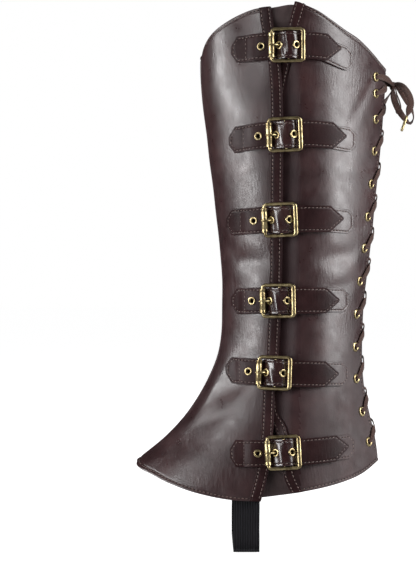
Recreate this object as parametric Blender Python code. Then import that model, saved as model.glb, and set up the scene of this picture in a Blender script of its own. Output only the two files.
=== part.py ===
"""Left leather boot cover: buckled on the outer side, laced up the back, held under the shoe by an elastic.

Sizes are millimetres here and become metres when a mesh is made. The shin looks along -X, the outer side of
the leg along -Y, up is +Z. The origin is on the leg's axis at the widest part of the calf.
"""
import bmesh
import bpy
from collections import namedtuple
from math import acos, asin, atan2, cos, degrees, exp, pi, radians, sin
from mathutils import Matrix, Vector

MM = 0.001
GAP = 0.4             # air between pieces that lie on each other
WALL = 1.6            # backed leather of the panels
TRIM = 1.2            # single leather of edge strips and holed straps
CHAPE = 1.0           # thinner leather of the strap that carries the buckle

# The worn shape: where the shin and the heel side lie, where it is widest, and half its width there.
Level = namedtuple("Level", "height shin heel axis half")
LEVELS = [
    Level(88, -63.5, 86.7, 9, 57),
    Level(60, -66.0, 86.6, 9, 58),
    Level(20, -66.0, 85.4, 9, 58),
    Level(-30, -60.5, 81.3, 8, 55),
    Level(-75, -55.0, 76.5, 8, 51.5),
    Level(-115, -50.5, 72.6, 8, 48),
    Level(-150, -49.0, 68.1, 8, 45.5),
    Level(-190, -51.5, 66.2, 8, 44.5),
    Level(-215, -60.5, 67.1, 8, 45),
    Level(-240, -75.5, 72.1, 7, 46.5),
    Level(-262, -95.0, 77.5, 6, 48),
    Level(-280, -117.0, 80.0, 5, 50),
    Level(-315, -160.0, 84.1, 4, 53),
]
REAR_FULLNESS = 1.05  # 0.5 is an ellipse; about 1 the laced back draws to a blunt wedge

# Heights of the top and bottom edges round the leg: 0 degrees is the shin, 90 the side, 180 the calf's back.
Edge = namedtuple("Edge", "angle height")
RIM_FRONT = [Edge(0, 42), Edge(14, 50), Edge(26, 56.7), Edge(40, 63.3), Edge(52, 68.5), Edge(63, 72), Edge(80, 73.5)]
RIM_REAR = [Edge(78, 77.5), Edge(87, 76.3), Edge(92.5, 73.9), Edge(101, 69.1), Edge(108, 63.4), Edge(117, 56.6),
            Edge(127, 51), Edge(140, 41.5), Edge(150, 35), Edge(165, 28)]
RIM_INNER = [Edge(0, 42), Edge(26, 56.7), Edge(52, 68), Edge(75, 73), Edge(92, 72), Edge(104, 65.5), Edge(117, 56),
             Edge(129, 49.8), Edge(150, 35), Edge(165, 28)]
HEM_FRONT = [Edge(0, -280.5), Edge(31, -287.5), Edge(47, -294.5), Edge(60, -301), Edge(72, -305.5), Edge(84, -306.5)]
HEM_REAR = [Edge(80, -302), Edge(94, -299), Edge(116, -294), Edge(133, -289), Edge(151, -281.5), Edge(165, -276.5)]
HEM_INNER = [Edge(0, -280.5), Edge(31, -287.5), Edge(60, -299), Edge(80, -303), Edge(100, -299), Edge(133, -289),
             Edge(165, -276.5)]

# The opening on the outer side: the front panel's edge lies over the rear panel's, and both spread at its ends.
Side = namedtuple("Side", "height x")
FRONT_EDGE = [Side(74, -13.5), Side(56, -11.2), Side(28, -6.2), Side(-10, -4.3), Side(-75, -4.3), Side(-138, -4.8),
              Side(-194, -7.0), Side(-223, -9.9), Side(-255, -11.5), Side(-283, -15.0), Side(-307, -21.3)]
REAR_EDGE = [Side(77, 4.8), Side(56, -1.3), Side(27, -8.9), Side(5, -12.6), Side(-75, -13.2), Side(-190, -15.2),
             Side(-236, -17.6), Side(-251, -10.4), Side(-285, -4.4), Side(-302, 3.0)]
STRIP_WIDTH = 9.0     # the sewn strip along each edge of the opening
TUCK = WALL + GAP + TRIM + GAP      # how far the rear panel sinks to pass under the front one
UNDERLAP_DEPTH = TUCK + WALL + GAP
UNDERLAP_REACH = 13.0               # how far the piece behind the opening runs past each edge
UNDERLAP_RIM = [Edge(60, 70.5), Edge(75, 73), Edge(87, 74.3), Edge(100, 67)]
UNDERLAP_HEM = [Edge(60, -297), Edge(76, -303.5), Edge(86, -301.5), Edge(104, -295)]

# Where the columns of faces stand: shares of each panel's width, or distances in from the opening's edge.
FRONT_SHARES = (0, 0.016, 0.04, 0.08, 0.2, 0.36, 0.52, 0.68, 0.84, 1)
REAR_INSETS = (0, STRIP_WIDTH / 2, STRIP_WIDTH, 12, 15, 17)
REAR_SHARES = (0.14, 0.29, 0.44, 0.58, 0.71, 0.82, 0.91, 1)
INNER_SHARES = (0, 0.045, 0.09, 0.15, 0.215, 0.28, 0.345, 0.41, 0.48, 0.55, 0.62, 0.69, 0.76, 0.83, 0.9, 0.96,
                0.98, 0.992, 1)
UNDERLAP_SHARES = (0, 0.25, 0.5, 0.75, 1)
STRIP_EDGE = 0.3      # the strip stops this much short of its panel's cut edge
ROWS = 23             # rows of faces from hem to rim

SEAM_HALF = 0.25      # half the joint down the shin
SEAM_RIDGE = 1.2      # the shin seam stands up by this much
SEAM_SPREAD = 1.8

# Soft creases where the leather sags over the ankle: where they start, how long and how deep.
Fold = namedtuple("Fold", "height drop start end depth width")
FOLDS = [
    Fold(-118, -5, 20, 72, 1.4, 8),
    Fold(-121, 5, 98, 140, 1.5, 8),
    Fold(-146, 6, 100, 138, 0.8, 7),
    Fold(-228, 16, 24, 62, 1.6, 10),
    Fold(-124, -5, -135, -40, 1.4, 9),
    Fold(-232, 12, -64, -24, 1.6, 10),
    Fold(22, 6, -120, -60, 0.8, 10),
]

# One row for each strap: its height at its sewn end, buckle and tip, and how far it reaches along the side.
Strap = namedtuple("Strap", "left left_height x height tip tip_height tab tab_height")
STRAPS = [
    Strap(-43.0, 41.0, -0.8, 42.3, 39.1, 41.4, 49.7, 34.0),
    Strap(-44.5, -28.0, -2.5, -25.0, 43.5, -25.0, 52.6, -27.4),
    Strap(-46.3, -91.0, -5.5, -89.7, 41.6, -88.3, 51.4, -90.5),
    Strap(-42.3, -152.6, -6.6, -152.0, 38.8, -151.7, 48.0, -151.8),
    Strap(-46.7, -206.7, -9.6, -208.0, 38.1, -209.2, 47.8, -209.8),
    Strap(-44.6, -270.3, -3.7, -269.1, 46.2, -265.6, 52.5, -265.9),
]
STRAP_HALF = 10.2
STRAP_BEVEL = 4.5     # length of the sewn end's cut corners, and half the flat left between them
STRAP_FLAT = 3.0
STRAP_POINT = 10.5    # length of the free end's point, and half its blunt tip
STRAP_TIP = 0.8
TAB_HALF = 9.3
TAB_BEVEL = 5.0
TAB_FLAT = 4.5
STRAP_HOLES = (-19.2, -5.8, 6.3)    # measured from the buckle's middle
HOLE_RADIUS = 1.8
EYELET_RADIUS = 3.2   # the brass ring round a strap hole
EYELET_RISE = 0.75

# The buckle, in its own plane: x along the strap, height above the leather.
FRAME_HALF_X = 11.9   # middle of the frame's wire
FRAME_HALF_Z = 12.1
FRAME_CORNER = 2.3
FRAME_LIFT = 5.8
FRAME_THICK = 1.3     # half the wire's height
RAIL_HALF = 1.25      # half the wire's width on the rails, at the keeper side and inside the roller
KEEPER_HALF = 1.85
AXLE_HALF = 1.0
ROLLER_RADIUS = 2.4
ROLLER_LENGTH = 18.8
BAR_X = 0.8           # the centre bar that the tab loops round
BAR_LIFT = 4.3
BAR_RADIUS = 0.8
PRONG_RADIUS = 0.6
PRONG_HOOK = 1.7
PRONG_SLOT = Vector((7.4, 2.8, 9.0))  # cut through the tab's loop for the prong
LOOP_RADIUS = 1.6     # middle of the tab's leather round the bar

# The strap's underside and the tab's middle layer over the buckle, as distance along and height.
Rise = namedtuple("Rise", "along lift")
STRAP_RISE = [Rise(-30, GAP), Rise(-24, 2.0), Rise(-9.5, 2.0), Rise(-5.8, 3.9), Rise(-2, 6.5), Rise(0.8, 7.1),
              Rise(4, 6.4), Rise(6.6, 5.0), Rise(9.0, 3.0), Rise(12.5, 2.75), Rise(17, 2.1)]
TAB_RISE = [Rise(1.4, 2.7), Rise(6, 2.35), Rise(12, 1.7), Rise(17, 1.0), Rise(23, 1.0), Rise(29, 1.0), Rise(35.5, 1.0)]
LOOP_RETURN = [Rise(1.4, 5.85), Rise(4.0, 5.0), Rise(6.2, 3.9)]

# The laced back: half the gap between the edges, and how far from the middle the eyelets sit.
Laced = namedtuple("Laced", "height across")
LACED_EDGE = [Laced(36, 8.2), Laced(10, 7.7), Laced(-25, 7.2), Laced(-60, 7.0), Laced(-280, 7.0)]
EYELET_LINE = [Laced(24, 19.3), Laced(11, 18.3), Laced(-9, 16.0), Laced(-34, 14.4), Laced(-60, 13.8),
               Laced(-111, 14.0), Laced(-163, 14.6), Laced(-240, 14.8), Laced(-264, 14.2)]
LACE_ARCH = 0.35      # how much of a full arch the laces make over the gap
EYELET_ROWS = (24, 11, -9, -34, -60, -86, -111, -137, -163, -189, -214, -240, -264)
EYELET_HOLE = 2.3
LACE_HALF = 2.7       # half the flat lace's width on the leather
LACE_CROSSED = 1.3    # where two laces cross
LACE_BUNCHED = 1.45   # in an eyelet
LACE_THICK = 0.5      # half its thickness

# The elastic that runs under the shoe: half its width, and its path from the hem down to the middle.
STIRRUP_X = -32.0
STIRRUP_HALF = 10.0
STIRRUP_THICK = 1.5
Strand = namedtuple("Strand", "across height")
STIRRUP_PATH = [Strand(49.2, -326), Strand(49.8, -336), Strand(48.2, -342.5), Strand(44.0, -345.3),
                Strand(0.0, -345.6)]
STIRRUP_SEWN = (-284, -298, -311)   # heights where the band still has the panel's curve

Finish = namedtuple("Finish", "colour roughness metallic")
FINISHES = {
    "panel_leather": Finish((0.045, 0.023, 0.024), 0.38, 0.0),
    "strap_leather": Finish((0.030, 0.014, 0.015), 0.34, 0.0),
    "brass": Finish((0.62, 0.46, 0.20), 0.3, 1.0),
    "cotton_lace": Finish((0.075, 0.040, 0.032), 0.85, 0.0),
    "elastic": Finish((0.012, 0.012, 0.014), 0.9, 0.0),
}


def curve_value(table, u):
    """A smooth curve through a table of two-column rows, level past its ends."""
    rows = sorted((row[0], row[1]) for row in table)
    u = max(rows[0][0], min(rows[-1][0], u))
    i = 0
    while i < len(rows) - 2 and u > rows[i + 1][0]:
        i += 1

    def slope(j):
        low, high = rows[max(j - 1, 0)], rows[min(j + 1, len(rows) - 1)]
        return (high[1] - low[1]) / (high[0] - low[0])

    step = rows[i + 1][0] - rows[i][0]
    s = (u - rows[i][0]) / step
    return ((2 * s ** 3 - 3 * s ** 2 + 1) * rows[i][1] + (s ** 3 - 2 * s ** 2 + s) * step * slope(i)
            + (3 * s ** 2 - 2 * s ** 3) * rows[i + 1][1] + (s ** 3 - s ** 2) * step * slope(i + 1))


def level(z, column):
    return curve_value([(row.height, getattr(row, column)) for row in LEVELS], z)


def blend(s):
    s = max(0.0, min(1.0, s))
    return s * s * (3 - 2 * s)


def skin(angle, z):
    """The worn surface at an angle round the leg; negative angles are the inner side."""
    a = radians(abs(angle))
    axis, half = level(z, "axis"), level(z, "half")
    if abs(angle) <= 90:
        x, y = axis - (axis - level(z, "shin")) * cos(a), half * sin(a)
    else:
        x, y = axis - (level(z, "heel") - axis) * cos(a), half * sin(a) ** (2 * REAR_FULLNESS)
    return Vector((x, -y if angle >= 0 else y, z))


def place(angle, z, lift=0.0):
    """A point that far out from the surface."""
    along = skin(angle + 0.4, z) - skin(angle - 0.4, z)
    up = skin(angle, z + 0.5) - skin(angle, z - 0.5)
    return skin(angle, z) + along.cross(up).normalized() * lift


def angle_at(x, z):
    """The angle where the outer side has this x."""
    axis = level(z, "axis")
    if x < axis:
        return degrees(acos(min(1.0, (axis - x) / (axis - level(z, "shin")))))
    return 180 - degrees(acos(min(1.0, (x - axis) / (level(z, "heel") - axis))))


def back_angle(across, z):
    """The angle where the laced back is this far from the middle; across is positive on the inner side."""
    a = 180 - degrees(asin((abs(across) / level(z, "half")) ** (0.5 / REAR_FULLNESS)))
    return -a if across > 0 else a


def crease(angle, z):
    """How far the folds press the leather in."""
    deep = 0.0
    for fold in FOLDS:
        if fold.start < angle < fold.end:
            s = (angle - fold.start) / (fold.end - fold.start)
            middle = fold.height + fold.drop * s
            deep += fold.depth * sin(pi * s) * exp(-((z - middle) / fold.width) ** 2)
    return -deep


def seam_ridge(angle, z):
    y = skin(angle, z).y
    return SEAM_RIDGE * exp(-(y / SEAM_SPREAD) ** 2) if abs(angle) < 30 else 0.0


def panel_lift(angle, z):
    return crease(angle, z) + seam_ridge(angle, z)


def rear_lift(angle, z):
    """The rear panel sinks where the front panel lies over it."""
    past = skin(angle, z).x - curve_value(FRONT_EDGE, z) - 3
    return crease(angle, z) - TUCK * (1 - blend(past / 12))


def underlap_lift(angle, z):
    shallow = blend((z - 50) / 16)
    return -UNDERLAP_DEPTH + shallow * (UNDERLAP_DEPTH - WALL - 2 * GAP)


def material(name):
    made = bpy.data.materials.get(name)
    if made is None:
        finish = FINISHES[name]
        made = bpy.data.materials.new(name)
        made.use_nodes = True
        shader = made.node_tree.nodes["Principled BSDF"]
        shader.inputs["Base Color"].default_value = (*finish.colour, 1)
        shader.inputs["Roughness"].default_value = finish.roughness
        shader.inputs["Metallic"].default_value = finish.metallic
    return made


def add_object(name, form, made_of, smooth=True):
    """Turns a bmesh in millimetres into a named object in metres."""
    bmesh.ops.scale(form, vec=(MM, MM, MM), verts=form.verts)
    mesh = bpy.data.meshes.new(name)
    form.to_mesh(mesh)
    form.free()
    if smooth:
        mesh.shade_smooth()
        mesh.set_sharp_from_angle(angle=radians(40))
    mesh.materials.append(material(made_of))
    made = bpy.data.objects.new(name, mesh)
    bpy.context.scene.collection.objects.link(made)
    return made


def slab_form(outer, inner):
    """A closed body between two grids of points with the same rows and columns."""
    form = bmesh.new()
    top = [[form.verts.new(p) for p in row] for row in outer]
    under = [[form.verts.new(p) for p in row] for row in inner]
    count, width = len(top), len(top[0])
    for j in range(count - 1):
        for i in range(width - 1):
            form.faces.new((top[j][i], top[j][i + 1], top[j + 1][i + 1], top[j + 1][i]))
            form.faces.new((under[j][i], under[j + 1][i], under[j + 1][i + 1], under[j][i + 1]))
        form.faces.new((top[j][0], top[j + 1][0], under[j + 1][0], under[j][0]))
        form.faces.new((top[j][-1], under[j][-1], under[j + 1][-1], top[j + 1][-1]))
    for i in range(width - 1):
        form.faces.new((top[0][i], under[0][i], under[0][i + 1], top[0][i + 1]))
        form.faces.new((top[-1][i], top[-1][i + 1], under[-1][i + 1], under[-1][i]))
    bmesh.ops.recalc_face_normals(form, faces=form.faces)
    return form


def slab(name, spots, thick, made_of):
    """Leather of one thickness whose outer face runs through (angle, height, lift) spots."""
    outer = [[place(*spot) for spot in row] for row in spots]
    inner = [[place(angle, z, lift - thick) for angle, z, lift in row] for row in spots]
    return add_object(name, slab_form(outer, inner), made_of)


def panel_spots(columns, hem, rim, lift):
    """Spots of a panel whose columns give an angle at each height, between a hem and a rim."""
    grid = []
    for j in range(ROWS + 1):
        v = j / ROWS
        line = []
        for column in columns:
            z = 0.0 if v > 0.5 else -200.0
            for _ in range(8):
                angle = column(z)
                z = curve_value(hem, abs(angle)) * (1 - v) + curve_value(rim, abs(angle)) * v
            line.append((angle, z, lift(angle, z)))
        grid.append(line)
    return grid


def between(low, high, q):
    return low + (high - low) * q


def shin_angle(z):
    return degrees(asin(SEAM_HALF / level(z, "half")))


def laced_edge(z):
    return curve_value(LACED_EDGE, z)


def beside_edge(inset, z):
    """Angle on the front panel, that far in from its edge at the opening."""
    return angle_at(curve_value(FRONT_EDGE, z) - inset, z)


def behind_edge(inset, z):
    """Angle on the rear panel, that far in from its edge at the opening."""
    return angle_at(curve_value(REAR_EDGE, z) + inset, z)


def make_front_panel():
    columns = [lambda z, q=q: between(shin_angle(z), beside_edge(STRIP_WIDTH, z), q) for q in FRONT_SHARES]
    columns += [lambda z, inset=inset: beside_edge(inset, z) for inset in (STRIP_WIDTH / 2, 0)]
    return slab("front_panel_outer", panel_spots(columns, HEM_FRONT, RIM_FRONT, panel_lift), WALL, "panel_leather")


def make_rear_panel():
    columns = [lambda z, inset=inset: behind_edge(inset, z) for inset in REAR_INSETS]
    columns += [lambda z, q=q: between(behind_edge(REAR_INSETS[-1], z), back_angle(-laced_edge(z), z), q)
                for q in REAR_SHARES]
    made = slab("rear_panel_outer", panel_spots(columns, HEM_REAR, RIM_REAR, rear_lift), WALL, "panel_leather")
    punch_eyelets(made, -1)
    return made


def make_inner_panel():
    """The inner side is one piece from the shin seam to the laced edge."""
    columns = [lambda z, q=q: between(back_angle(laced_edge(z), z), -shin_angle(z), q) for q in INNER_SHARES]
    made = slab("inner_panel", panel_spots(columns, HEM_INNER, RIM_INNER, panel_lift), WALL, "panel_leather")
    punch_eyelets(made, 1)
    return made


def make_underlap():
    """The piece behind the side opening, seen where its edges spread at the top and the bottom."""
    def column(q, z):
        front, rear = curve_value(FRONT_EDGE, z), curve_value(REAR_EDGE, z)
        return angle_at(between(front - UNDERLAP_REACH, max(front, rear) + UNDERLAP_REACH, q), z)
    columns = [lambda z, q=q: column(q, z) for q in UNDERLAP_SHARES]
    return slab("underlap", panel_spots(columns, UNDERLAP_HEM, UNDERLAP_RIM, underlap_lift), TRIM, "panel_leather")


def make_edge_strips():
    """A sewn strip along each edge of the opening, over its panel."""
    def over_front(angle, z):
        return panel_lift(angle, z) + GAP + TRIM

    def over_rear(angle, z):
        return rear_lift(angle, z) + GAP + TRIM
    insets = (STRIP_EDGE, STRIP_WIDTH / 2, STRIP_WIDTH)
    front = [lambda z, inset=inset: beside_edge(inset, z) for inset in reversed(insets)]
    rear = [lambda z, inset=inset: behind_edge(inset, z) for inset in insets]
    slab("front_edge_strip", panel_spots(front, HEM_FRONT, RIM_FRONT, over_front), TRIM, "strap_leather")
    slab("rear_edge_strip", panel_spots(rear, HEM_REAR, RIM_REAR, over_rear), TRIM, "strap_leather")


def cylinder(radius, length, sides):
    form = bmesh.new()
    bmesh.ops.create_cone(form, cap_ends=True, segments=sides, radius1=radius, radius2=radius, depth=length)
    return form


def cut_with(made, name, form):
    """Subtracts a guide shape, which stays in the file unseen."""
    cutter = add_object(name, form, made.data.materials[0].name, smooth=False)
    cutter.hide_render = True
    cutter.display_type = "WIRE"
    cut = made.modifiers.new(name, "BOOLEAN")
    cut.operation = "DIFFERENCE"
    cut.object = cutter


def axes_at(here, along, out):
    """Axes with X along, Z out and Y upwards."""
    along = (along - out * along.dot(out)).normalized()
    frame = Matrix((along, out.cross(along), out)).transposed().to_4x4()
    frame.translation = here
    return frame


def surface_frame(angle, z, roll=0.0):
    """Axes on the leather: X level, or rolled that many degrees, towards the back; Z out."""
    here = place(angle, z)
    out = (place(angle, z, 1) - here).normalized()
    along = skin(angle + 0.4, z) - skin(angle - 0.4, z)
    return axes_at(here, along, out) @ Matrix.Rotation(radians(roll), 4, "Z")


def punch(made, frames, radius, length):
    """Round holes through a sheet, one along each frame's Z."""
    holes = bmesh.new()
    for frame in frames:
        bmesh.ops.create_cone(holes, cap_ends=True, segments=8, radius1=radius, radius2=radius, depth=length,
                              matrix=frame)
    cut_with(made, made.name + "_holes", holes)


def punch_eyelets(made, side):
    angles = [back_angle(side * curve_value(EYELET_LINE, z), z) for z in EYELET_ROWS]
    punch(made, [surface_frame(angle, z) for angle, z in zip(angles, EYELET_ROWS)], EYELET_HOLE, 10)


def strap_roll(strap):
    """Degrees that a strap and its buckle lean from level."""
    return degrees(atan2(strap.tip_height - strap.left_height, strap.tip - strap.left))


def strap_height(strap, x, end, end_height):
    """The middle of a strap, in line with its buckle and drifting to its end's height."""
    slope = (strap.tip_height - strap.left_height) / (strap.tip - strap.left)
    straight = strap.height + slope * (x - strap.x)
    drift = end_height - strap.height - slope * (end - strap.x)
    return straight + drift * blend((abs(x - strap.x) - 16) / (abs(end - strap.x) - 16))


def pointed(distance, depth, tip_half, full_half):
    """Half the width at a distance from a cut point."""
    return full_half if distance >= depth else between(tip_half, full_half, distance / depth)


def strap_spots(strap):
    """A holed strap: stations along it, three points across, on top of what it crosses."""
    first, last = STRAP_RISE[0].along, STRAP_RISE[-1].along
    start, point = strap.left + STRAP_BEVEL, strap.tip - STRAP_POINT
    stations = [strap.left, start, between(start, strap.x + first, 0.6)]
    stations += [strap.x + rise.along for rise in STRAP_RISE]
    stations += [between(strap.x + last, point, 0.5), point, strap.tip]
    lines = []
    for x in stations:
        if x < strap.x:
            z = strap_height(strap, x, strap.left, strap.left_height)
            half = pointed(x - strap.left, STRAP_BEVEL, STRAP_FLAT, STRAP_HALF)
        else:
            z = strap_height(strap, x, strap.tip, strap.tip_height)
            half = pointed(strap.tip - x, STRAP_POINT, STRAP_TIP, STRAP_HALF)
        lift = curve_value(STRAP_RISE, x - strap.x) + TRIM
        lines.append([(angle_at(x, z + side * half), z + side * half, lift) for side in (-1, 0, 1)])
    return [list(row) for row in zip(*lines)]


def make_strap(number, strap):
    made = slab(f"strap_{number}", strap_spots(strap), TRIM, "strap_leather")
    punch(made, [strap_frame(strap, along) for along in STRAP_HOLES], HOLE_RADIUS, 5)
    return made


def strap_point(strap, along):
    end, height = (strap.left, strap.left_height) if along < 0 else (strap.tip, strap.tip_height)
    x = strap.x + along
    z = strap_height(strap, x, end, height)
    return place(angle_at(x, z), z, curve_value(STRAP_RISE, along) + TRIM)


def strap_frame(strap, along):
    """Axes on a strap's outer face, tilted as the strap climbs over the buckle's bar."""
    flat = surface_frame(angle_at(strap.x + along, strap.height), strap.height, strap_roll(strap))
    direction = (strap_point(strap, along + 0.5) - strap_point(strap, along - 0.5)).normalized()
    out = direction.cross(flat.to_3x3() @ Vector((0, 1, 0))).normalized()
    return axes_at(strap_point(strap, along), direction, out)


def buckle_frame(strap):
    """The rigid buckle's own axes, flat against the leather at its middle."""
    return surface_frame(angle_at(strap.x, strap.height), strap.height, strap_roll(strap))


def thickened(name, lines, thick, made_of):
    """A band of one thickness about lines of points across it."""
    form = bmesh.new()
    verts = [[form.verts.new(p) for p in line] for line in lines]
    for a, b in zip(verts, verts[1:]):
        for i in range(len(a) - 1):
            form.faces.new((a[i], b[i], b[i + 1], a[i + 1]))
    made = add_object(name, form, made_of)
    solid = made.modifiers.new("thickness", "SOLIDIFY")
    solid.thickness = thick * MM
    solid.offset = 0.0
    solid.use_even_offset = True
    return made


def make_tab(number, strap):
    """The strap sewn to the rear panel, which loops round the buckle's centre bar."""
    frame = buckle_frame(strap)
    path = [(rise.along, rise.lift) for rise in reversed(LOOP_RETURN)]
    path += [(BAR_X + LOOP_RADIUS * cos(radians(a)), BAR_LIFT + LOOP_RADIUS * sin(radians(a)))
             for a in (110, 145, 180, 215, 250)]
    lines = []
    for along, lift in path:
        lines.append([frame @ Vector((along, side * TAB_HALF, lift)) for side in (-1, 0, 1)])
    for x in [strap.x + rise.along for rise in TAB_RISE] + [strap.tab - 12, strap.tab - TAB_BEVEL, strap.tab]:
        rise = curve_value(TAB_RISE, x - strap.x)
        z = strap_height(strap, x, strap.tab, strap.tab_height)
        half = pointed(strap.tab - x, TAB_BEVEL, TAB_FLAT, TAB_HALF)
        lines.append([place(angle_at(x, z + side * half), z + side * half, rise) for side in (-1, 0, 1)])
    made = thickened(f"buckle_tab_{number}", lines, CHAPE, "panel_leather")
    slot = bmesh.new()
    bmesh.ops.create_cube(slot, size=1.0)
    bmesh.ops.scale(slot, vec=PRONG_SLOT, verts=slot.verts)
    bmesh.ops.translate(slot, vec=(BAR_X + 0.4, 0, BAR_LIFT), verts=slot.verts)
    bmesh.ops.transform(slot, matrix=frame, verts=slot.verts)
    cut_with(made, made.name + "_slot", slot)
    return made


def tube_form(stations, closed):
    """Joins rings of points into a tube, capped unless it closes on itself."""
    form = bmesh.new()
    rings = [[form.verts.new(p) for p in ring] for ring in stations]
    pairs = list(zip(rings, rings[1:]))
    if closed:
        pairs.append((rings[-1], rings[0]))
    for a, b in pairs:
        for i in range(len(a)):
            k = (i + 1) % len(a)
            form.faces.new((a[i], a[k], b[k], b[i]))
    if not closed:
        form.faces.new(rings[0])
        form.faces.new(rings[-1])
    bmesh.ops.recalc_face_normals(form, faces=form.faces)
    return form


def make_buckle_frame(number, strap):
    """A squared wire ring with rounded corners, wider at the keeper and thin inside the roller."""
    sides = 6
    stations = []
    inner_x, inner_z = FRAME_HALF_X - FRAME_CORNER, FRAME_HALF_Z - FRAME_CORNER
    for corner, (cx, cz) in enumerate([(inner_x, inner_z), (-inner_x, inner_z), (-inner_x, -inner_z),
                                       (inner_x, -inner_z)]):
        for turn in (0, 45, 90):
            a = radians(90 * corner + turn)
            to_x = abs(cos(a))
            width = between(RAIL_HALF, KEEPER_HALF if cos(a) > 0 else AXLE_HALF, blend(to_x))
            middle = Vector((cx + FRAME_CORNER * cos(a), cz + FRAME_CORNER * sin(a), FRAME_LIFT))
            outward = Vector((cos(a), sin(a), 0))
            thick = between(FRAME_THICK, AXLE_HALF, blend(to_x) if cos(a) < 0 else 0)
            ring = []
            for k in range(sides):
                b = radians(360 * (k + 0.5) / sides)
                ring.append(middle + outward * width * cos(b) + Vector((0, 0, thick * sin(b) / sin(radians(60)))))
            stations.append(ring)
    form = tube_form(stations, closed=True)
    bmesh.ops.transform(form, matrix=buckle_frame(strap), verts=form.verts)
    made = add_object(f"buckle_frame_{number}", form, "brass")
    bar = cylinder(BAR_RADIUS, 2 * FRAME_HALF_Z - 0.6, 8)
    bmesh.ops.rotate(bar, matrix=Matrix.Rotation(radians(90), 3, "X"), verts=bar.verts)
    bmesh.ops.translate(bar, vec=(BAR_X, 0, BAR_LIFT), verts=bar.verts)
    bmesh.ops.transform(bar, matrix=buckle_frame(strap), verts=bar.verts)
    guide = add_object(f"centre_bar_{number}", bar, "brass", smooth=False)
    guide.hide_render = True
    guide.display_type = "WIRE"
    join = made.modifiers.new("centre_bar", "BOOLEAN")
    join.operation = "UNION"
    join.object = guide
    return made


def turned_form(profile, segments):
    """A closed profile of (radius, height) spun round the Z axis."""
    form = bmesh.new()
    loop = [form.verts.new((radius, 0, height)) for radius, height in profile]
    edges = [form.edges.new((loop[i], loop[(i + 1) % len(loop)])) for i in range(len(loop))]
    bmesh.ops.spin(form, geom=loop + edges, cent=(0, 0, 0), axis=(0, 0, 1), angle=radians(360), steps=segments,
                   use_merge=True)
    bmesh.ops.recalc_face_normals(form, faces=form.faces)
    return form


def make_roller(number, strap):
    half = ROLLER_LENGTH / 2
    bore = AXLE_HALF + GAP
    form = turned_form([(bore, -half), (ROLLER_RADIUS, -half), (ROLLER_RADIUS, half), (bore, half)], 10)
    bmesh.ops.rotate(form, matrix=Matrix.Rotation(radians(90), 3, "X"), verts=form.verts)
    bmesh.ops.translate(form, vec=(-FRAME_HALF_X, 0, FRAME_LIFT), verts=form.verts)
    bmesh.ops.transform(form, matrix=buckle_frame(strap), verts=form.verts)
    return add_object(f"buckle_roller_{number}", form, "brass")


def swept_form(points, radius, sides):
    """A round rod along a path that lies in the buckle's XZ plane."""
    stations = []
    for i, p in enumerate(points):
        ahead = (points[min(i + 1, len(points) - 1)] - points[max(i - 1, 0)]).normalized()
        aside = Vector((0, 1, 0))
        out = aside.cross(ahead).normalized()
        stations.append([p + aside * radius * cos(2 * pi * k / sides) + out * radius * sin(2 * pi * k / sides)
                         for k in range(sides)])
    return tube_form(stations, closed=False)


def make_prong(number, strap):
    """Hooked round the centre bar, out through the middle hole and down on the roller."""
    hook = [Vector((BAR_X + PRONG_HOOK * cos(radians(a)), 0, BAR_LIFT + PRONG_HOOK * sin(radians(a))))
            for a in (165, 100, 40, -20, -80)]
    top = FRAME_LIFT + ROLLER_RADIUS + 0.3 + PRONG_RADIUS
    rest = [Vector(p) for p in ((-2.8, 0, 2.75), (-4.8, 0, 3.2), (-6.2, 0, 5.8), (-8.6, 0, top - 0.5),
                                (-11.6, 0, top + 0.15), (-14.2, 0, top - 0.5))]
    form = swept_form(hook + rest, PRONG_RADIUS, 5)
    bmesh.ops.transform(form, matrix=buckle_frame(strap), verts=form.verts)
    return add_object(f"buckle_prong_{number}", form, "brass")


def make_strap_eyelets(number, strap):
    profile = [(HOLE_RADIUS, GAP), (EYELET_RADIUS, GAP), (2.5, GAP + EYELET_RISE)]
    for letter, along in zip("abc", STRAP_HOLES):
        form = turned_form(profile, 10)
        bmesh.ops.transform(form, matrix=strap_frame(strap, along), verts=form.verts)
        add_object(f"strap_eyelet_{number}{letter}", form, "brass")


def back_point(across, z, lift):
    """A point over the laced back, bridging the gap between the edges on a flat arch."""
    edge_y = laced_edge(z)
    if abs(across) >= edge_y:
        return place(back_angle(across, z), z, lift)
    edge = skin(back_angle(-edge_y, z), z)
    inside = skin(back_angle(-edge_y - 0.5, z), z)
    slope = (edge.x - inside.x) / 0.5
    arch = LACE_ARCH * slope * edge_y / 2 * (1 - (across / edge_y) ** 2)
    out = Vector((1, LACE_ARCH * slope * across / edge_y, 0)).normalized()
    return Vector((edge.x + arch, across, z)) + out * lift


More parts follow.
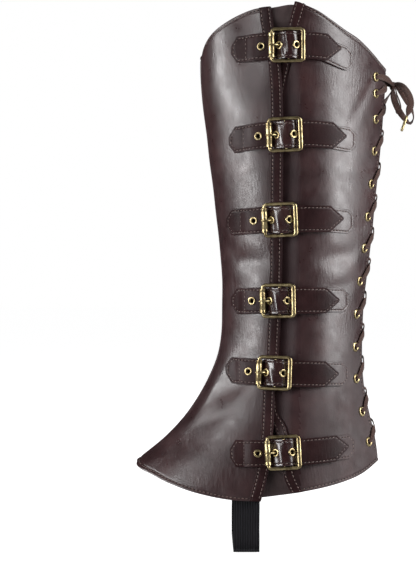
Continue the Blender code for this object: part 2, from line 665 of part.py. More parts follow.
# A lace on its way from one eyelet to the next on the other side. Gap and leather say how far across it is:
# -1 and -1 are its own eyelet, -1 and 0 its own edge, 0 and 0 the middle, 1 and 1 the next eyelet. Then how
# far up it has come, its height over the leather for the lace on top and the one beneath, and its half width.
Pass = namedtuple("Pass", "gap leather up over under half")
OUT = GAP + LACE_THICK + 0.1
IN = -WALL - GAP - LACE_THICK - 0.3
CROSSING = [
    Pass(-1, -1.00, 0.000, -0.9, -0.9, LACE_BUNCHED),
    Pass(-1, -0.97, 0.015, 0.8, 0.8, LACE_BUNCHED),
    Pass(-1, -0.60, 0.12, OUT + 0.15, OUT + 0.15, 2.3),
    Pass(-1, -0.05, 0.38, OUT, OUT, LACE_HALF),
    Pass(-0.8, 0, 0.43, OUT, OUT - 0.05, 2.3),
    Pass(-0.5, 0, 0.50, 0.95, -0.3, 1.5),
    Pass(-0.2, 0, 0.55, 0.85, -0.85, LACE_CROSSED),
    Pass(0.2, 0, 0.65, 0.65, -0.95, LACE_CROSSED),
    Pass(0.55, 0, 0.72, -1.3, -1.8, 1.4),
    Pass(1, 0.08, 0.80, IN, IN, 2.2),
    Pass(1, 0.92, 0.98, IN, IN, 1.4),
]


def lace_stations(side, on_top):
    """Spots along one half of the lace, from the middle of its bottom bar to the knot: across, height, lift,
    half width, and how many degrees its width leans."""
    rows = list(reversed(EYELET_ROWS))
    bar = rows[0]
    found = [(side * 0.6, bar, IN, 2.2, 0), (side * 5.5, bar, IN - 0.4, 2.2, 0), (side * 13.4, bar, IN, 1.5, 0)]
    for z, above in zip(rows, rows[1:]):
        for stop in CROSSING:
            here = between(z, above, stop.up)
            edge, eyelet = laced_edge(here), curve_value(EYELET_LINE, here)
            across = -side * (stop.gap * edge + stop.leather * (eyelet - edge))
            lean = 0 if stop.half == LACE_BUNCHED else (-36 if side > 0 else 36)
            half = stop.half if abs(stop.gap) == 1 else stop.half * min(1, (above - z) / 24)
            found.append((across, here, stop.over if on_top else stop.under, half, lean))
        side = -side
    top = rows[-1]
    eyelet = curve_value(EYELET_LINE, top)
    found += [(side * eyelet, top, -0.9, LACE_BUNCHED, 0), (side * (eyelet - 0.3), top, 0.7, LACE_BUNCHED, 0),
              (side * (eyelet - 4.5), top + 0.4, OUT + 0.1, 2.4, 0), (side * 8.2, top - 0.6, OUT + 1.0, 2.5, 0),
              (side * 3.9, top - 4.2, OUT + 4.6, 1.4, 0)]
    return found


def ribbon_form(centres, widths, half_widths):
    """A flat lace: a four-sided tube whose long side follows the given width directions."""
    stations = []
    for i, p in enumerate(centres):
        ahead = (centres[min(i + 1, len(centres) - 1)] - centres[max(i - 1, 0)]).normalized()
        wide = (widths[i] - ahead * widths[i].dot(ahead)).normalized()
        thin = ahead.cross(wide)
        w, t = wide * half_widths[i], thin * LACE_THICK
        stations.append([p + w + t, p - w + t, p - w - t, p + w - t])
    return tube_form(stations, closed=False)


def make_lace(name, first_side, on_top):
    centres, widths, halves = [], [], []
    for across, z, lift, half, lean in lace_stations(first_side, on_top):
        sideways = (back_point(across + 0.5, z, lift) - back_point(across - 0.5, z, lift)).normalized()
        up = (back_point(across, z + 0.5, lift) - back_point(across, z - 0.5, lift)).normalized()
        centres.append(back_point(across, z, lift))
        widths.append(up * cos(radians(lean)) - sideways * sin(radians(lean)))
        halves.append(half)
    return add_object(name, ribbon_form(centres, widths, halves), "cotton_lace")


def smooth_path(points, steps):
    """A rounded line through hand-placed points."""
    found = []
    count = len(points)
    for i in range(count - 1):
        p0, p1, p2, p3 = (Vector(points[max(0, min(count - 1, k))]) for k in (i - 1, i, i + 1, i + 2))
        for s in range(steps):
            u = s / steps
            found.append(0.5 * ((2 * p1) + (p2 - p0) * u + (2 * p0 - 5 * p1 + 4 * p2 - p3) * u ** 2
                                + (3 * p1 - p0 - 3 * p2 + p3) * u ** 3))
    found.append(Vector(points[-1]))
    return found


# The bow at the top of the lacing. Its outer loop and end hang back and down on the outer side with their
# flat faces outwards; the inner ones are shown edge on. A row is a place and where the lace's width points.
Turn = namedtuple("Turn", "x y z wide_x wide_y wide_z")
KNOT = Vector((86.2, 0.0, 19.2))
KNOT_SIZE = (3.4, 3.2, 4.0)
OUTER_LOOP = [
    Turn(88.0, -2.5, 20.2, 0.6, 0.1, 0.8), Turn(92.2, -6.0, 14.5, 0.8, 0.2, 0.5),
    Turn(96.8, -7.0, 6.5, 0.8, 0.3, 0.4), Turn(100.5, -7.5, -1.0, 0.5, 0.8, 0.2),
    Turn(101.6, -9.0, -7.5, 0.1, 1.0, 0.0), Turn(98.2, -11.5, -11.5, 0.3, 0.9, 0.5),
    Turn(93.2, -12.5, -7.0, 0.7, 0.4, 0.6), Turn(88.5, -12.0, 0.5, 0.8, 0.2, 0.5),
    Turn(86.0, -9.0, 9.0, 0.9, 0.3, 0.3), Turn(86.2, -2.6, 16.6, 0.9, 0.2, 0.2)]
OUTER_END = [
    Turn(88.2, -1.4, 21.0, 0.4, 0.2, 0.9), Turn(92.5, -9.0, 17.8, 0.4, 0.3, 0.8),
    Turn(97.0, -14.0, 11.5, 0.9, 0.3, 0.3), Turn(98.6, -16.5, 4.0, 1.0, 0.2, 0.0),
    Turn(97.0, -17.5, -2.0, 1.0, 0.2, 0.0), Turn(95.4, -17.8, -6.4, 1.0, 0.2, 0.0)]
INNER_LOOP = [
    Turn(88.0, 0.6, 19.6, 0.3, 1.0, 0.0), Turn(90.0, 5.0, 13.5, 0.1, 1.0, 0.0), Turn(93.2, 10.0, 7.0, 0.1, 1.0, 0.0),
    Turn(94.2, 12.5, 1.0, 0.1, 1.0, 0.0), Turn(91.4, 11.5, -1.0, 0.1, 1.0, 0.0), Turn(88.4, 8.0, 4.5, 0.1, 1.0, 0.0),
    Turn(86.0, 5.0, 11.0, 0.1, 1.0, 0.0), Turn(85.6, 0.8, 17.4, 0.0, 1.0, 0.1)]
INNER_END = [
    Turn(86.8, 1.0, 20.8, 0.0, 0.2, 1.0), Turn(87.4, 9.0, 17.4, 0.3, 0.3, 0.9), Turn(82.5, 18.0, 10.0, 0.7, 0.3, 0.4),
    Turn(77.5, 25.5, 0.0, 0.9, 0.4, 0.0), Turn(75.5, 28.5, -6.0, 0.9, 0.4, 0.0)]
KNOT_HALF = 1.2       # half the lace's width in the knot and where an aglet grips it
AGLET_HALF = 0.9
AGLET_LENGTH = 13.0
AGLET_RADIUS = 1.2


def bow_ribbon(turns, loop):
    """A lace through the turns, bunched in the knot; a free end narrows towards its aglet."""
    path = smooth_path([(turn.x, turn.y, turn.z) for turn in turns], 2)
    widths = smooth_path([(turn.wide_x, turn.wide_y, turn.wide_z) for turn in turns], 2)
    last = len(path) - 1
    halves = []
    for i in range(last + 1):
        start, stop = i / last, 1 - i / last
        end_half = KNOT_HALF if loop else AGLET_HALF
        halves.append(min(between(KNOT_HALF, LACE_HALF, blend(start / 0.15)),
                          between(end_half, LACE_HALF, blend(stop / 0.15))))
    return ribbon_form(path, widths, halves)


def make_bow():
    knot = bmesh.new()
    bmesh.ops.create_uvsphere(knot, u_segments=8, v_segments=6, radius=1.0)
    bmesh.ops.scale(knot, vec=KNOT_SIZE, verts=knot.verts)
    bmesh.ops.translate(knot, vec=KNOT, verts=knot.verts)
    made = add_object("lace_bow", knot, "cotton_lace")
    arms = [("outer_loop", OUTER_LOOP, True), ("inner_loop", INNER_LOOP, True), ("outer_end", OUTER_END, False),
            ("inner_end", INNER_END, False)]
    for name, turns, loop in arms:
        arm = add_object("bow_" + name, bow_ribbon(turns, loop), "cotton_lace", smooth=False)
        arm.hide_render = True
        arm.display_type = "WIRE"
        join = made.modifiers.new(name, "BOOLEAN")
        join.operation = "UNION"
        join.object = arm
    return made


def make_aglets():
    for name, points in (("aglet_outer", OUTER_END), ("aglet_inner", INNER_END)):
        end, before = (Vector((turn.x, turn.y, turn.z)) for turn in (points[-1], points[-2]))
        down = (end - before).normalized()
        form = cylinder(AGLET_RADIUS, AGLET_LENGTH, 8)
        turn = Vector((0, 0, 1)).rotation_difference(down).to_matrix()
        bmesh.ops.rotate(form, matrix=turn, verts=form.verts)
        bmesh.ops.translate(form, vec=end + down * (AGLET_LENGTH / 2 + 0.3), verts=form.verts)
        add_object(name, form, "brass")


def make_stirrup():
    """One band from inside the outer side, under the shoe, to inside the inner side."""
    columns = [STIRRUP_X + side * STIRRUP_HALF for side in (1, 0, -1)]
    half = [[place(angle_at(x, z), z, -WALL - STIRRUP_THICK) for x in columns] for z in STIRRUP_SEWN]
    half += [[Vector((x, -strand.across, strand.height)) for x in columns] for strand in STIRRUP_PATH]
    lines = half + [[Vector((p.x, -p.y, p.z)) for p in line] for line in reversed(half[:-1])]
    return thickened("stirrup", lines, STIRRUP_THICK, "elastic")


def main():
    for old in list(bpy.data.objects):
        bpy.data.objects.remove(old)
    make_front_panel()
    make_rear_panel()
    make_inner_panel()
    make_underlap()
    make_edge_strips()
    for number, strap in enumerate(STRAPS, 1):
        make_strap(number, strap)
        make_tab(number, strap)
        make_buckle_frame(number, strap)
        make_roller(number, strap)
        make_prong(number, strap)
        make_strap_eyelets(number, strap)
    make_lace("lace_first_half", -1, True)
    make_lace("lace_second_half", 1, False)
    make_bow()
    make_aglets()
    make_stirrup()


main()
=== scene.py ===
import random
from bisect import bisect_right
from functools import lru_cache
from math import acos, asin, atan2, cos, degrees, exp, pi, radians, sin

import bpy
from mathutils import Matrix, Vector


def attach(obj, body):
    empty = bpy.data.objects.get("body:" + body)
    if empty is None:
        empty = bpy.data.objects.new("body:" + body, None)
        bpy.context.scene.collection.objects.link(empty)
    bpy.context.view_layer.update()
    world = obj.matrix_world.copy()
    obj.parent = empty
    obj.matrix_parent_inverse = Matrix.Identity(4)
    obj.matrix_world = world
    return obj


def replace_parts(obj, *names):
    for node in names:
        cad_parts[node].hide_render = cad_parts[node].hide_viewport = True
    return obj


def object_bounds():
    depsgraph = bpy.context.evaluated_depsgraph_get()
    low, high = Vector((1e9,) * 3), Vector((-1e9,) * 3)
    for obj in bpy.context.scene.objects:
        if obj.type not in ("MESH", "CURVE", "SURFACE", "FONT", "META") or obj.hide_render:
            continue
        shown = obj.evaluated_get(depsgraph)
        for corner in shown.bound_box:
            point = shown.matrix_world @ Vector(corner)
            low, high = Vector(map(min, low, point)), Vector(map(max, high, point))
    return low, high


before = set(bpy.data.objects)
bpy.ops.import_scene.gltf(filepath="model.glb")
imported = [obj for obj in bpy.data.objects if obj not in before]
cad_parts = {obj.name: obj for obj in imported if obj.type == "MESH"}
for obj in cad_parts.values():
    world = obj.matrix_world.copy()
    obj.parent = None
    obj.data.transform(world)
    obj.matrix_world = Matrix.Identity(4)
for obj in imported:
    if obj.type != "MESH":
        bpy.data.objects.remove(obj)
cadLow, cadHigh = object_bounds()
random.seed(7)
mm = 0.001   # sizes below are in millimetres; the shin looks along -X, the outer side along -Y


# Working with objects

def deselectAll():
    bpy.ops.object.select_all(action="DESELECT")


def selectOnly(piece):
    deselectAll()
    piece.select_set(True)
    bpy.context.view_layer.objects.active = piece


def applyModifiers(piece):
    selectOnly(piece)
    for modifier in list(piece.modifiers):
        bpy.ops.object.modifier_apply(modifier=modifier.name)


def thicken(piece, thickness, offset=-1.0, edge=0.0):
    # a wall to the inner side of the modelled face, with its rim rounded
    shell = piece.modifiers.new("wall", "SOLIDIFY")
    shell.thickness = thickness * mm
    shell.offset = offset
    shell.use_even_offset = True
    if edge:
        rounded = piece.modifiers.new("roundedRim", "BEVEL")
        rounded.width = edge * mm
        rounded.segments = 2
        rounded.limit_method = "ANGLE"
        rounded.angle_limit = radians(55)
    applyModifiers(piece)


def smoothShade(piece, angle=50):
    selectOnly(piece)
    bpy.ops.object.shade_smooth_by_angle(angle=radians(angle))


def cutHoles(piece, frames, radius, depth):
    # round holes through a sheet, one along each frame's Z
    deselectAll()
    punches = []
    for own in frames:
        bpy.ops.mesh.primitive_cylinder_add(vertices=16, radius=radius * mm, depth=depth * mm)
        punch = bpy.context.object
        punch.data.transform(scaled(own))
        punches.append(punch)
    selectOnly(punches[0])
    for punch in punches:
        punch.select_set(True)
    bpy.ops.object.join()
    cutter = bpy.context.object
    cut = piece.modifiers.new("holes", "BOOLEAN")
    cut.operation = "DIFFERENCE"
    cut.object = cutter
    applyModifiers(piece)
    bpy.data.objects.remove(cutter)


def scaled(own):
    # a frame in millimetres as one in metres, for a mesh that already is in metres
    found = own.copy()
    found.translation = own.translation * mm
    return found


def formGrid(name, columns, rows, shape):
    # a grid primitive whose points go to their places: shape takes a share across and a share up, in 0 to 1
    deselectAll()
    bpy.ops.mesh.primitive_grid_add(x_subdivisions=len(columns) - 1, y_subdivisions=len(rows) - 1, size=2)
    piece = bpy.context.object
    piece.name = piece.data.name = name
    for vertex in piece.data.vertices:
        i = round((vertex.co.x + 1) / 2 * (len(columns) - 1))
        j = round((vertex.co.y + 1) / 2 * (len(rows) - 1))
        vertex.co = shape(columns[i], rows[j]) * mm
    return piece


def shares(total, step, endStep=None, endLength=6.0):
    # places along a length from 0 to 1, closer together near both ends if endStep is given
    if endStep is None:
        count = max(2, round(total / step))
        return [i / count for i in range(count + 1)]
    ends = max(1, round(endLength / endStep))
    middle = max(2, round((total - 2 * endLength) / step))
    found = [i * endStep for i in range(ends)]
    found += [endLength + (total - 2 * endLength) * i / middle for i in range(middle + 1)]
    found += [total - (ends - 1 - i) * endStep for i in range(ends)]
    return [spot / total for spot in found]


# The worn form, which every piece lies on

legForm = {   # where the shin and the heel side lie, where the leg is widest, and half its width there
    "height": (-315, -280, -262, -240, -215, -190, -150, -115, -75, -30, 20, 60, 88),
    "shin": (-160, -117, -95, -75.5, -60.5, -51.5, -49, -50.5, -55, -60.5, -66, -66, -63.5),
    "heel": (84.1, 80, 77.5, 72.1, 67.1, 66.2, 68.1, 72.6, 76.5, 81.3, 85.4, 86.6, 86.7),
    "axis": (4, 5, 6, 7, 8, 8, 8, 8, 8, 8, 9, 9, 9),
    "half": (53, 50, 48, 46.5, 45, 44.5, 45.5, 48, 51.5, 55, 58, 58, 57),
    "rearFullness": 1.05,
    "gap": 0.4, "wall": 1.6, "trim": 1.2, "chape": 1.0,
}
gap, wall, trim = legForm["gap"], legForm["wall"], legForm["trim"]


def curveValue(places, values, u):
    # a smooth curve through rising places, level past its ends
    u = max(places[0], min(places[-1], u))
    last = len(places) - 1
    i = min(max(bisect_right(places, u) - 1, 0), last - 1)

    def slope(j):
        low, high = max(j - 1, 0), min(j + 1, last)
        return (values[high] - values[low]) / (places[high] - places[low])

    step = places[i + 1] - places[i]
    s = (u - places[i]) / step
    return ((2 * s ** 3 - 3 * s ** 2 + 1) * values[i] + (s ** 3 - 2 * s ** 2 + s) * step * slope(i)
            + (3 * s ** 2 - 2 * s ** 3) * values[i + 1] + (s ** 3 - s ** 2) * step * slope(i + 1))


@lru_cache(maxsize=None)
def level(z, column):
    return curveValue(legForm["height"], legForm[column], z)


def blend(s):
    s = max(0.0, min(1.0, s))
    return s * s * (3 - 2 * s)


def between(low, high, share):
    return low + (high - low) * share


def skin(angle, z):
    # the surface at an angle round the leg: 0 is the shin, 180 the calf's back, negative the inner side
    a = radians(abs(angle))
    axis, half = level(z, "axis"), level(z, "half")
    if abs(angle) <= 90:
        x, y = axis - (axis - level(z, "shin")) * cos(a), half * sin(a)
    else:
        x, y = axis - (level(z, "heel") - axis) * cos(a), half * sin(a) ** (2 * legForm["rearFullness"])
    return Vector((x, -y if angle >= 0 else y, z))


def place(angle, z, lift=0.0):
    along = skin(angle + 0.4, z) - skin(angle - 0.4, z)
    up = skin(angle, z + 0.5) - skin(angle, z - 0.5)
    return skin(angle, z) + along.cross(up).normalized() * lift


def angleAt(x, z):
    axis = level(z, "axis")
    if x < axis:
        return degrees(acos(min(1.0, (axis - x) / (axis - level(z, "shin")))))
    return 180 - degrees(acos(min(1.0, (x - axis) / (level(z, "heel") - axis))))


def backAngle(across, z):
    # the angle that far from the middle of the laced back; across is positive on the inner side
    a = 180 - degrees(asin((abs(across) / level(z, "half")) ** (0.5 / legForm["rearFullness"])))
    return -a if across > 0 else a


def axesAt(here, along, out):
    along = (along - out * along.dot(out)).normalized()
    found = Matrix((along, out.cross(along), out)).transposed().to_4x4()
    found.translation = here
    return found


def outward(angle, z):
    return (place(angle, z, 1) - place(angle, z)).normalized()


def surfaceFrame(angle, z, roll=0.0):
    along = skin(angle + 0.4, z) - skin(angle - 0.4, z)
    return axesAt(place(angle, z), along, outward(angle, z)) @ Matrix.Rotation(radians(roll), 4, "Z")


# Each edge is a row of places and a row of values. Rims and hems give a height at each angle, the others
# give how far along or across an edge lies at each height.
edges = {
    "rimFront": ((0, 14, 26, 40, 52, 63, 80), (42, 50, 56.7, 63.3, 68.5, 72, 73.5)),
    "rimRear": ((78, 87, 92.5, 101, 108, 117, 127, 140, 150, 165),
                (77.5, 76.3, 73.9, 69.1, 63.4, 56.6, 51, 41.5, 35, 28)),
    "rimInner": ((0, 26, 52, 75, 92, 104, 117, 129, 150, 165),
                 (42, 56.7, 68, 73, 72, 65.5, 56, 49.8, 35, 28)),
    "rimUnderlap": ((60, 75, 87, 100), (70.5, 73, 74.3, 67)),
    "hemFront": ((0, 31, 47, 60, 72, 84), (-280.5, -287.5, -294.5, -301, -305.5, -306.5)),
    "hemRear": ((80, 94, 116, 133, 151, 165), (-302, -299, -294, -289, -281.5, -276.5)),
    "hemInner": ((0, 31, 60, 80, 100, 133, 165), (-280.5, -287.5, -299, -303, -299, -289, -276.5)),
    "hemUnderlap": ((60, 76, 86, 104), (-297, -303.5, -301.5, -295)),
    "front": ((-307, -283, -255, -223, -194, -138, -75, -10, 28, 56, 74),
              (-21.3, -15, -11.5, -9.9, -7, -4.8, -4.3, -4.3, -6.2, -11.2, -13.5)),
    "rear": ((-302, -285, -251, -236, -190, -75, 5, 27, 56, 77),
             (3, -4.4, -10.4, -17.6, -15.2, -13.2, -12.6, -8.9, -1.3, 4.8)),
    "laced": ((-280, -60, -25, 10, 36), (7, 7, 7.2, 7.7, 8.2)),
    "eyelets": ((-264, -240, -163, -111, -60, -34, -9, 11, 24),
                (14.2, 14.8, 14.6, 14, 13.8, 14.4, 16, 18.3, 19.3)),
}
tuck = wall + gap + trim + gap          # how far the rear panel sinks to pass under the front one
eyeletRows = (24, 11, -9, -34, -60, -86, -111, -137, -163, -189, -214, -240, -264)

folds = {   # soft troughs where the leather sags over the ankle and under the rim
    "height": (-118, -121, -146, -228, -124, -232, 22, -204, -252, -98, -150, -205, -12, -20.5),
    "drop": (-5, 5, 6, 16, -5, 12, 6, 9, 12, 4, 8, -7, -6, 48),
    "start": (20, 98, 100, 24, -135, -64, -120, 30, 28, 112, -120, -140, -70, 118),
    "end": (72, 140, 138, 62, -40, -24, -60, 58, 54, 148, -70, -90, -30, 146),
    "depth": (1.4, 1.5, 0.8, 1.6, 1.4, 1.6, 0.8, 0.35, 0.4, 0.3, 0.45, 0.4, 0.3, 0.9),
    "width": (8, 8, 7, 10, 9, 10, 10, 4, 5, 4, 5, 6, 5, 8),
}


def edge(name, u):
    return curveValue(*edges[name], u)


def crease(angle, z):
    deep = 0.0
    for height, drop, start, end, depth, width in zip(*folds.values()):
        if start < angle < end:
            s = (angle - start) / (end - start)
            deep += depth * sin(pi * s) * exp(-((z - height - drop * s) / width) ** 2)
    return -deep


def slack(angle, z):
    # the hand-made unevenness of a large piece, a few tenths of a millimetre over some centimetres
    wide = 0.16 * sin(z / 13 + angle / 11) * sin(z / 31 - angle / 17 + 1.3)
    return wide + 0.07 * sin(z / 6.1 - angle / 7 + 2)


def seamRidge(angle, z):
    y = skin(angle, z).y
    return 1.2 * exp(-(y / 1.8) ** 2) if abs(angle) < 30 else 0.0


def panelLift(angle, z):
    return crease(angle, z) + seamRidge(angle, z) + slack(angle, z)


def rearLift(angle, z):
    past = skin(angle, z).x - edge("front", z) - 3
    return crease(angle, z) + slack(angle, z) - tuck * (1 - blend(past / 12))


def underlapLift(angle, z):
    depth = tuck + wall + gap
    return -depth + blend((z - 50) / 16) * (depth - wall - 2 * gap)


def turnedEdge(distance):
    # the folded border is full outside its stitching, which pulls the leather in
    return 0.22 * exp(-((distance - 1.0) / 0.8) ** 2) - 0.28 * exp(-((distance - 2.4) / 0.55) ** 2)


def shinAngle(z):
    return degrees(asin(0.25 / level(z, "half")))


def besideEdge(inset, z):
    return angleAt(edge("front", z) - inset, z)


def behindEdge(inset, z):
    return angleAt(edge("rear", z) + inset, z)


def panelSpot(left, right, hem, rim, q, v):
    # the angle and height that a share across and a share up a panel come to
    z = 0.0 if v > 0.5 else -200.0
    for _ in range(6):
        angle = between(left(z), right(z), q)
        bottom, top = edge(hem, abs(angle)), edge(rim, abs(angle))
        z = between(bottom, top, v)
    return angle, z, min(z - bottom, top - z)


def panelShape(left, right, hem, rim, lift):
    def shape(q, v):
        angle, z, inFromEdge = panelSpot(left, right, hem, rim, q, v)
        return place(angle, z, lift(angle, z) + turnedEdge(inFromEdge))
    return shape


# Colours and finishes

def linear(hexColour):
    # an sRGB hex colour as the linear values that a socket takes
    parts = [int(hexColour[i:i + 2], 16) / 255 for i in (1, 3, 5)]
    return (*[p / 12.92 if p <= 0.04045 else ((p + 0.055) / 1.055) ** 2.4 for p in parts], 1)


def addNode(tree, kind, inputs=None, **settings):
    node = tree.nodes.new("ShaderNode" + kind)
    for name, value in settings.items():
        setattr(node, name, value)
    for name, value in (inputs or {}).items():
        if isinstance(value, bpy.types.NodeSocket):
            tree.links.new(value, node.inputs[name])
        else:
            node.inputs[name].default_value = value
    return node


def noise(tree, where, size, detail, rough=0.5):
    return addNode(tree, "TexNoise", {"Vector": where, "Scale": 1 / (size * mm), "Detail": detail,
                                      "Roughness": rough})


def newMaterial(name):
    material = bpy.data.materials.new(name)
    material.use_nodes = True
    return material, material.node_tree, material.node_tree.nodes["Principled BSDF"]


leatherLooks = {
    # split leather with a polyurethane top coat: a shallow printed grain under a satin, waxy film
    "panel": {"dark": "#291718", "mid": "#342122", "rubbed": "#412B2B", "roughness": (0.27, 0.4),
              "grain": 1.4, "shine": 0.55, "scuff": 0.3},
    # the same hide on the straps, darker and less shiny: painted shade where flat straps catch little light
    "strap": {"dark": "#211314", "mid": "#2B1A1B", "rubbed": "#372425", "roughness": (0.32, 0.44),
              "grain": 1.3, "shine": 0.11, "scuff": 0.0},
    # a strap inside its buckle: a lighter, glossier copy of the strap leather, painted sheen over the bar
    "buckleSheen": {"dark": "#241314", "mid": "#2E1B1B", "rubbed": "#3F2A28", "roughness": (0.16, 0.26),
              "grain": 1.3, "shine": 0.6, "scuff": 0.0},
    # the rear panel beside the opening: a darker, duller copy, painted shade from the front panel's edge
    "worn": {"dark": "#281618", "mid": "#322022", "rubbed": "#3E2929", "roughness": (0.5, 0.62),
             "grain": 1.4, "shine": 0.2, "scuff": 0.0},
    # the tongue behind the opening: a lighter, greyer copy of the panel leather, painted haze on its shade
    "underlap": {"dark": "#3A2B2B", "mid": "#493A3A", "rubbed": "#564847", "roughness": (0.5, 0.62),
                 "grain": 1.2, "shine": 0.4, "scuff": 0.0},
}


def coatedLeather(name, look):
    material, tree, shader = newMaterial(name)
    where = addNode(tree, "TexCoord").outputs["Object"]
    patches = noise(tree, where, 22, 5.0, 0.6)
    colour = addNode(tree, "ValToRGB", {"Fac": patches.outputs["Fac"]})
    stops = colour.color_ramp.elements
    stops[0].position, stops[0].color = 0.3, linear(look["dark"])
    stops[1].position, stops[1].color = 0.75, linear(look["rubbed"])
    middle = stops.new(0.52)
    middle.color = linear(look["mid"])
    # printed pebbles, drawn about twice as coarse as real ones so that a render shows them
    pebbles = addNode(tree, "TexVoronoi", {"Vector": where, "Scale": 1 / (look["grain"] * mm),
                                           "Randomness": 1.0}, feature="F1")
    pores = noise(tree, where, 0.7, 2.0)
    # short upright creases where the coat has flexed, 2 mm apart and 8 mm long, in some places only
    stretch = (1 / (2 * mm), 1 / (2 * mm), 1 / (8 * mm))
    stretched = addNode(tree, "Mapping", {"Vector": where, "Scale": stretch})
    flexing = noise(tree, where, 34, 1.0)
    flexedDepth = addNode(tree, "MapRange", {"Value": flexing.outputs["Fac"], "From Min": 0.42,
                                             "From Max": 0.62, "To Min": 0.15, "To Max": 0.7})
    flexed = addNode(tree, "TexNoise", {"Vector": stretched.outputs["Vector"], "Scale": 1.0, "Detail": 3.0})
    waxy = noise(tree, where, 9, 3.0)
    gloss = addNode(tree, "MapRange", {"Value": waxy.outputs["Fac"], "From Min": 0.3, "From Max": 0.7,
                                       "To Min": look["roughness"][0], "To Max": look["roughness"][1]})
    # the coat is scuffed dull behind the opening, near the hem
    spot = addNode(tree, "SeparateXYZ", {"Vector": where})
    low = addNode(tree, "MapRange", {"Value": spot.outputs["Z"], "From Min": -180 * mm,
                                     "From Max": -235 * mm})
    behind = addNode(tree, "MapRange", {"Value": spot.outputs["X"], "From Min": 0.0, "From Max": 25 * mm,
                                        "To Max": look["scuff"]})
    scuffed = addNode(tree, "Math", {0: low.outputs["Result"], 1: behind.outputs["Result"]},
                      operation="MULTIPLY")
    roughness = addNode(tree, "Math", {0: gloss.outputs["Result"], 1: scuffed.outputs[0]}, operation="ADD")
    grainBump = addNode(tree, "Bump", {"Height": pebbles.outputs["Distance"], "Strength": 0.3,
                                       "Distance": 0.08 * mm})
    poreBump = addNode(tree, "Bump", {"Height": pores.outputs["Fac"], "Strength": 0.4, "Distance": 0.08 * mm,
                                      "Normal": grainBump.outputs["Normal"]})
    flexBump = addNode(tree, "Bump", {"Height": flexed.outputs["Fac"], "Distance": 0.28 * mm,
                                      "Strength": flexedDepth.outputs["Result"],
                                      "Normal": poreBump.outputs["Normal"]})
    tree.links.new(colour.outputs["Color"], shader.inputs["Base Color"])
    tree.links.new(roughness.outputs[0], shader.inputs["Roughness"])
    tree.links.new(flexBump.outputs["Normal"], shader.inputs["Normal"])
    shader.inputs["Specular IOR Level"].default_value = look["shine"]
    return material


def antiqueBrass():
    # plated zinc with a warm brass film, darker in patches, polished by handling
    material, tree, shader = newMaterial("antiqueBrass")
    where = addNode(tree, "TexCoord").outputs["Object"]
    tarnish = noise(tree, where, 5, 4.0, 0.7)
    colour = addNode(tree, "ValToRGB", {"Fac": tarnish.outputs["Fac"]})
    stops = colour.color_ramp.elements
    stops[0].position, stops[0].color = 0.35, linear("#7F6F50")
    stops[1].position, stops[1].color = 0.7, linear("#CFBE90")
    scuffs = noise(tree, where, 0.8, 2.0)
    bump = addNode(tree, "Bump", {"Height": scuffs.outputs["Fac"], "Strength": 0.2, "Distance": 0.05 * mm})
    tree.links.new(colour.outputs["Color"], shader.inputs["Base Color"])
    tree.links.new(bump.outputs["Normal"], shader.inputs["Normal"])
    shader.inputs["Metallic"].default_value = 1.0
    shader.inputs["Roughness"].default_value = 0.34
    return material


def bondedThread():
    # thick bonded nylon, a little paler than the leather, with a soft shine
    material, tree, shader = newMaterial("bondedThread")
    where = addNode(tree, "TexCoord").outputs["Object"]
    dye = noise(tree, where, 6, 2.0)
    colour = addNode(tree, "ValToRGB", {"Fac": dye.outputs["Fac"]})
    colour.color_ramp.elements[0].color = linear("#4C3B38")
    colour.color_ramp.elements[1].color = linear("#7A6761")
    tree.links.new(colour.outputs["Color"], shader.inputs["Base Color"])
    shader.inputs["Roughness"].default_value = 0.5
    return material


def wovenAcross(name, deep, raised, rib, slant, roughness, depth, sheen):
    # yarns that run with the piece's own UV, whose unit is a centimetre: ribs across it and slanted floats
    material, tree, shader = newMaterial(name)
    uv = addNode(tree, "UVMap", uv_map="UVMap").outputs["UV"]
    parts = addNode(tree, "SeparateXYZ", {"Vector": uv})
    turns = 2 * pi * 10 / rib

    def wave(sign):
        leaned = addNode(tree, "Math", {0: parts.outputs["X"], 1: sign * slant}, operation="MULTIPLY")
        total = addNode(tree, "Math", {0: parts.outputs["Y"], 1: leaned.outputs[0]}, operation="ADD")
        phase = addNode(tree, "Math", {0: total.outputs[0], 1: turns}, operation="MULTIPLY")
        return addNode(tree, "Math", {0: phase.outputs[0]}, operation="SINE").outputs[0]

    floats = addNode(tree, "Math", {0: wave(1), 1: wave(-1)}, operation="MAXIMUM")
    fuzz = noise(tree, addNode(tree, "TexCoord").outputs["Object"], 0.9, 3.0)
    height = addNode(tree, "Math", {0: floats.outputs[0], 1: fuzz.outputs["Fac"]}, operation="ADD")
    # the colour runs from the deep one in the weave's hollows to the raised one on its yarns: painted shade
    # in the hollows
    hollowShade = addNode(tree, "MapRange", {"Value": height.outputs[0], "From Min": -0.4, "From Max": 1.6})
    colour = addNode(tree, "Mix", {"Factor": hollowShade.outputs["Result"], "A": linear(deep), "B": linear(raised)},
                     data_type="RGBA")
    bump = addNode(tree, "Bump", {"Height": height.outputs[0], "Strength": 0.7, "Distance": depth * mm})
    tree.links.new(colour.outputs["Result"], shader.inputs["Base Color"])
    tree.links.new(bump.outputs["Normal"], shader.inputs["Normal"])
    shader.inputs["Roughness"].default_value = roughness
    shader.inputs["Specular IOR Level"].default_value = 0.2
    shader.inputs["Sheen Weight"].default_value = sheen
    shader.inputs["Sheen Roughness"].default_value = 0.4
    return material


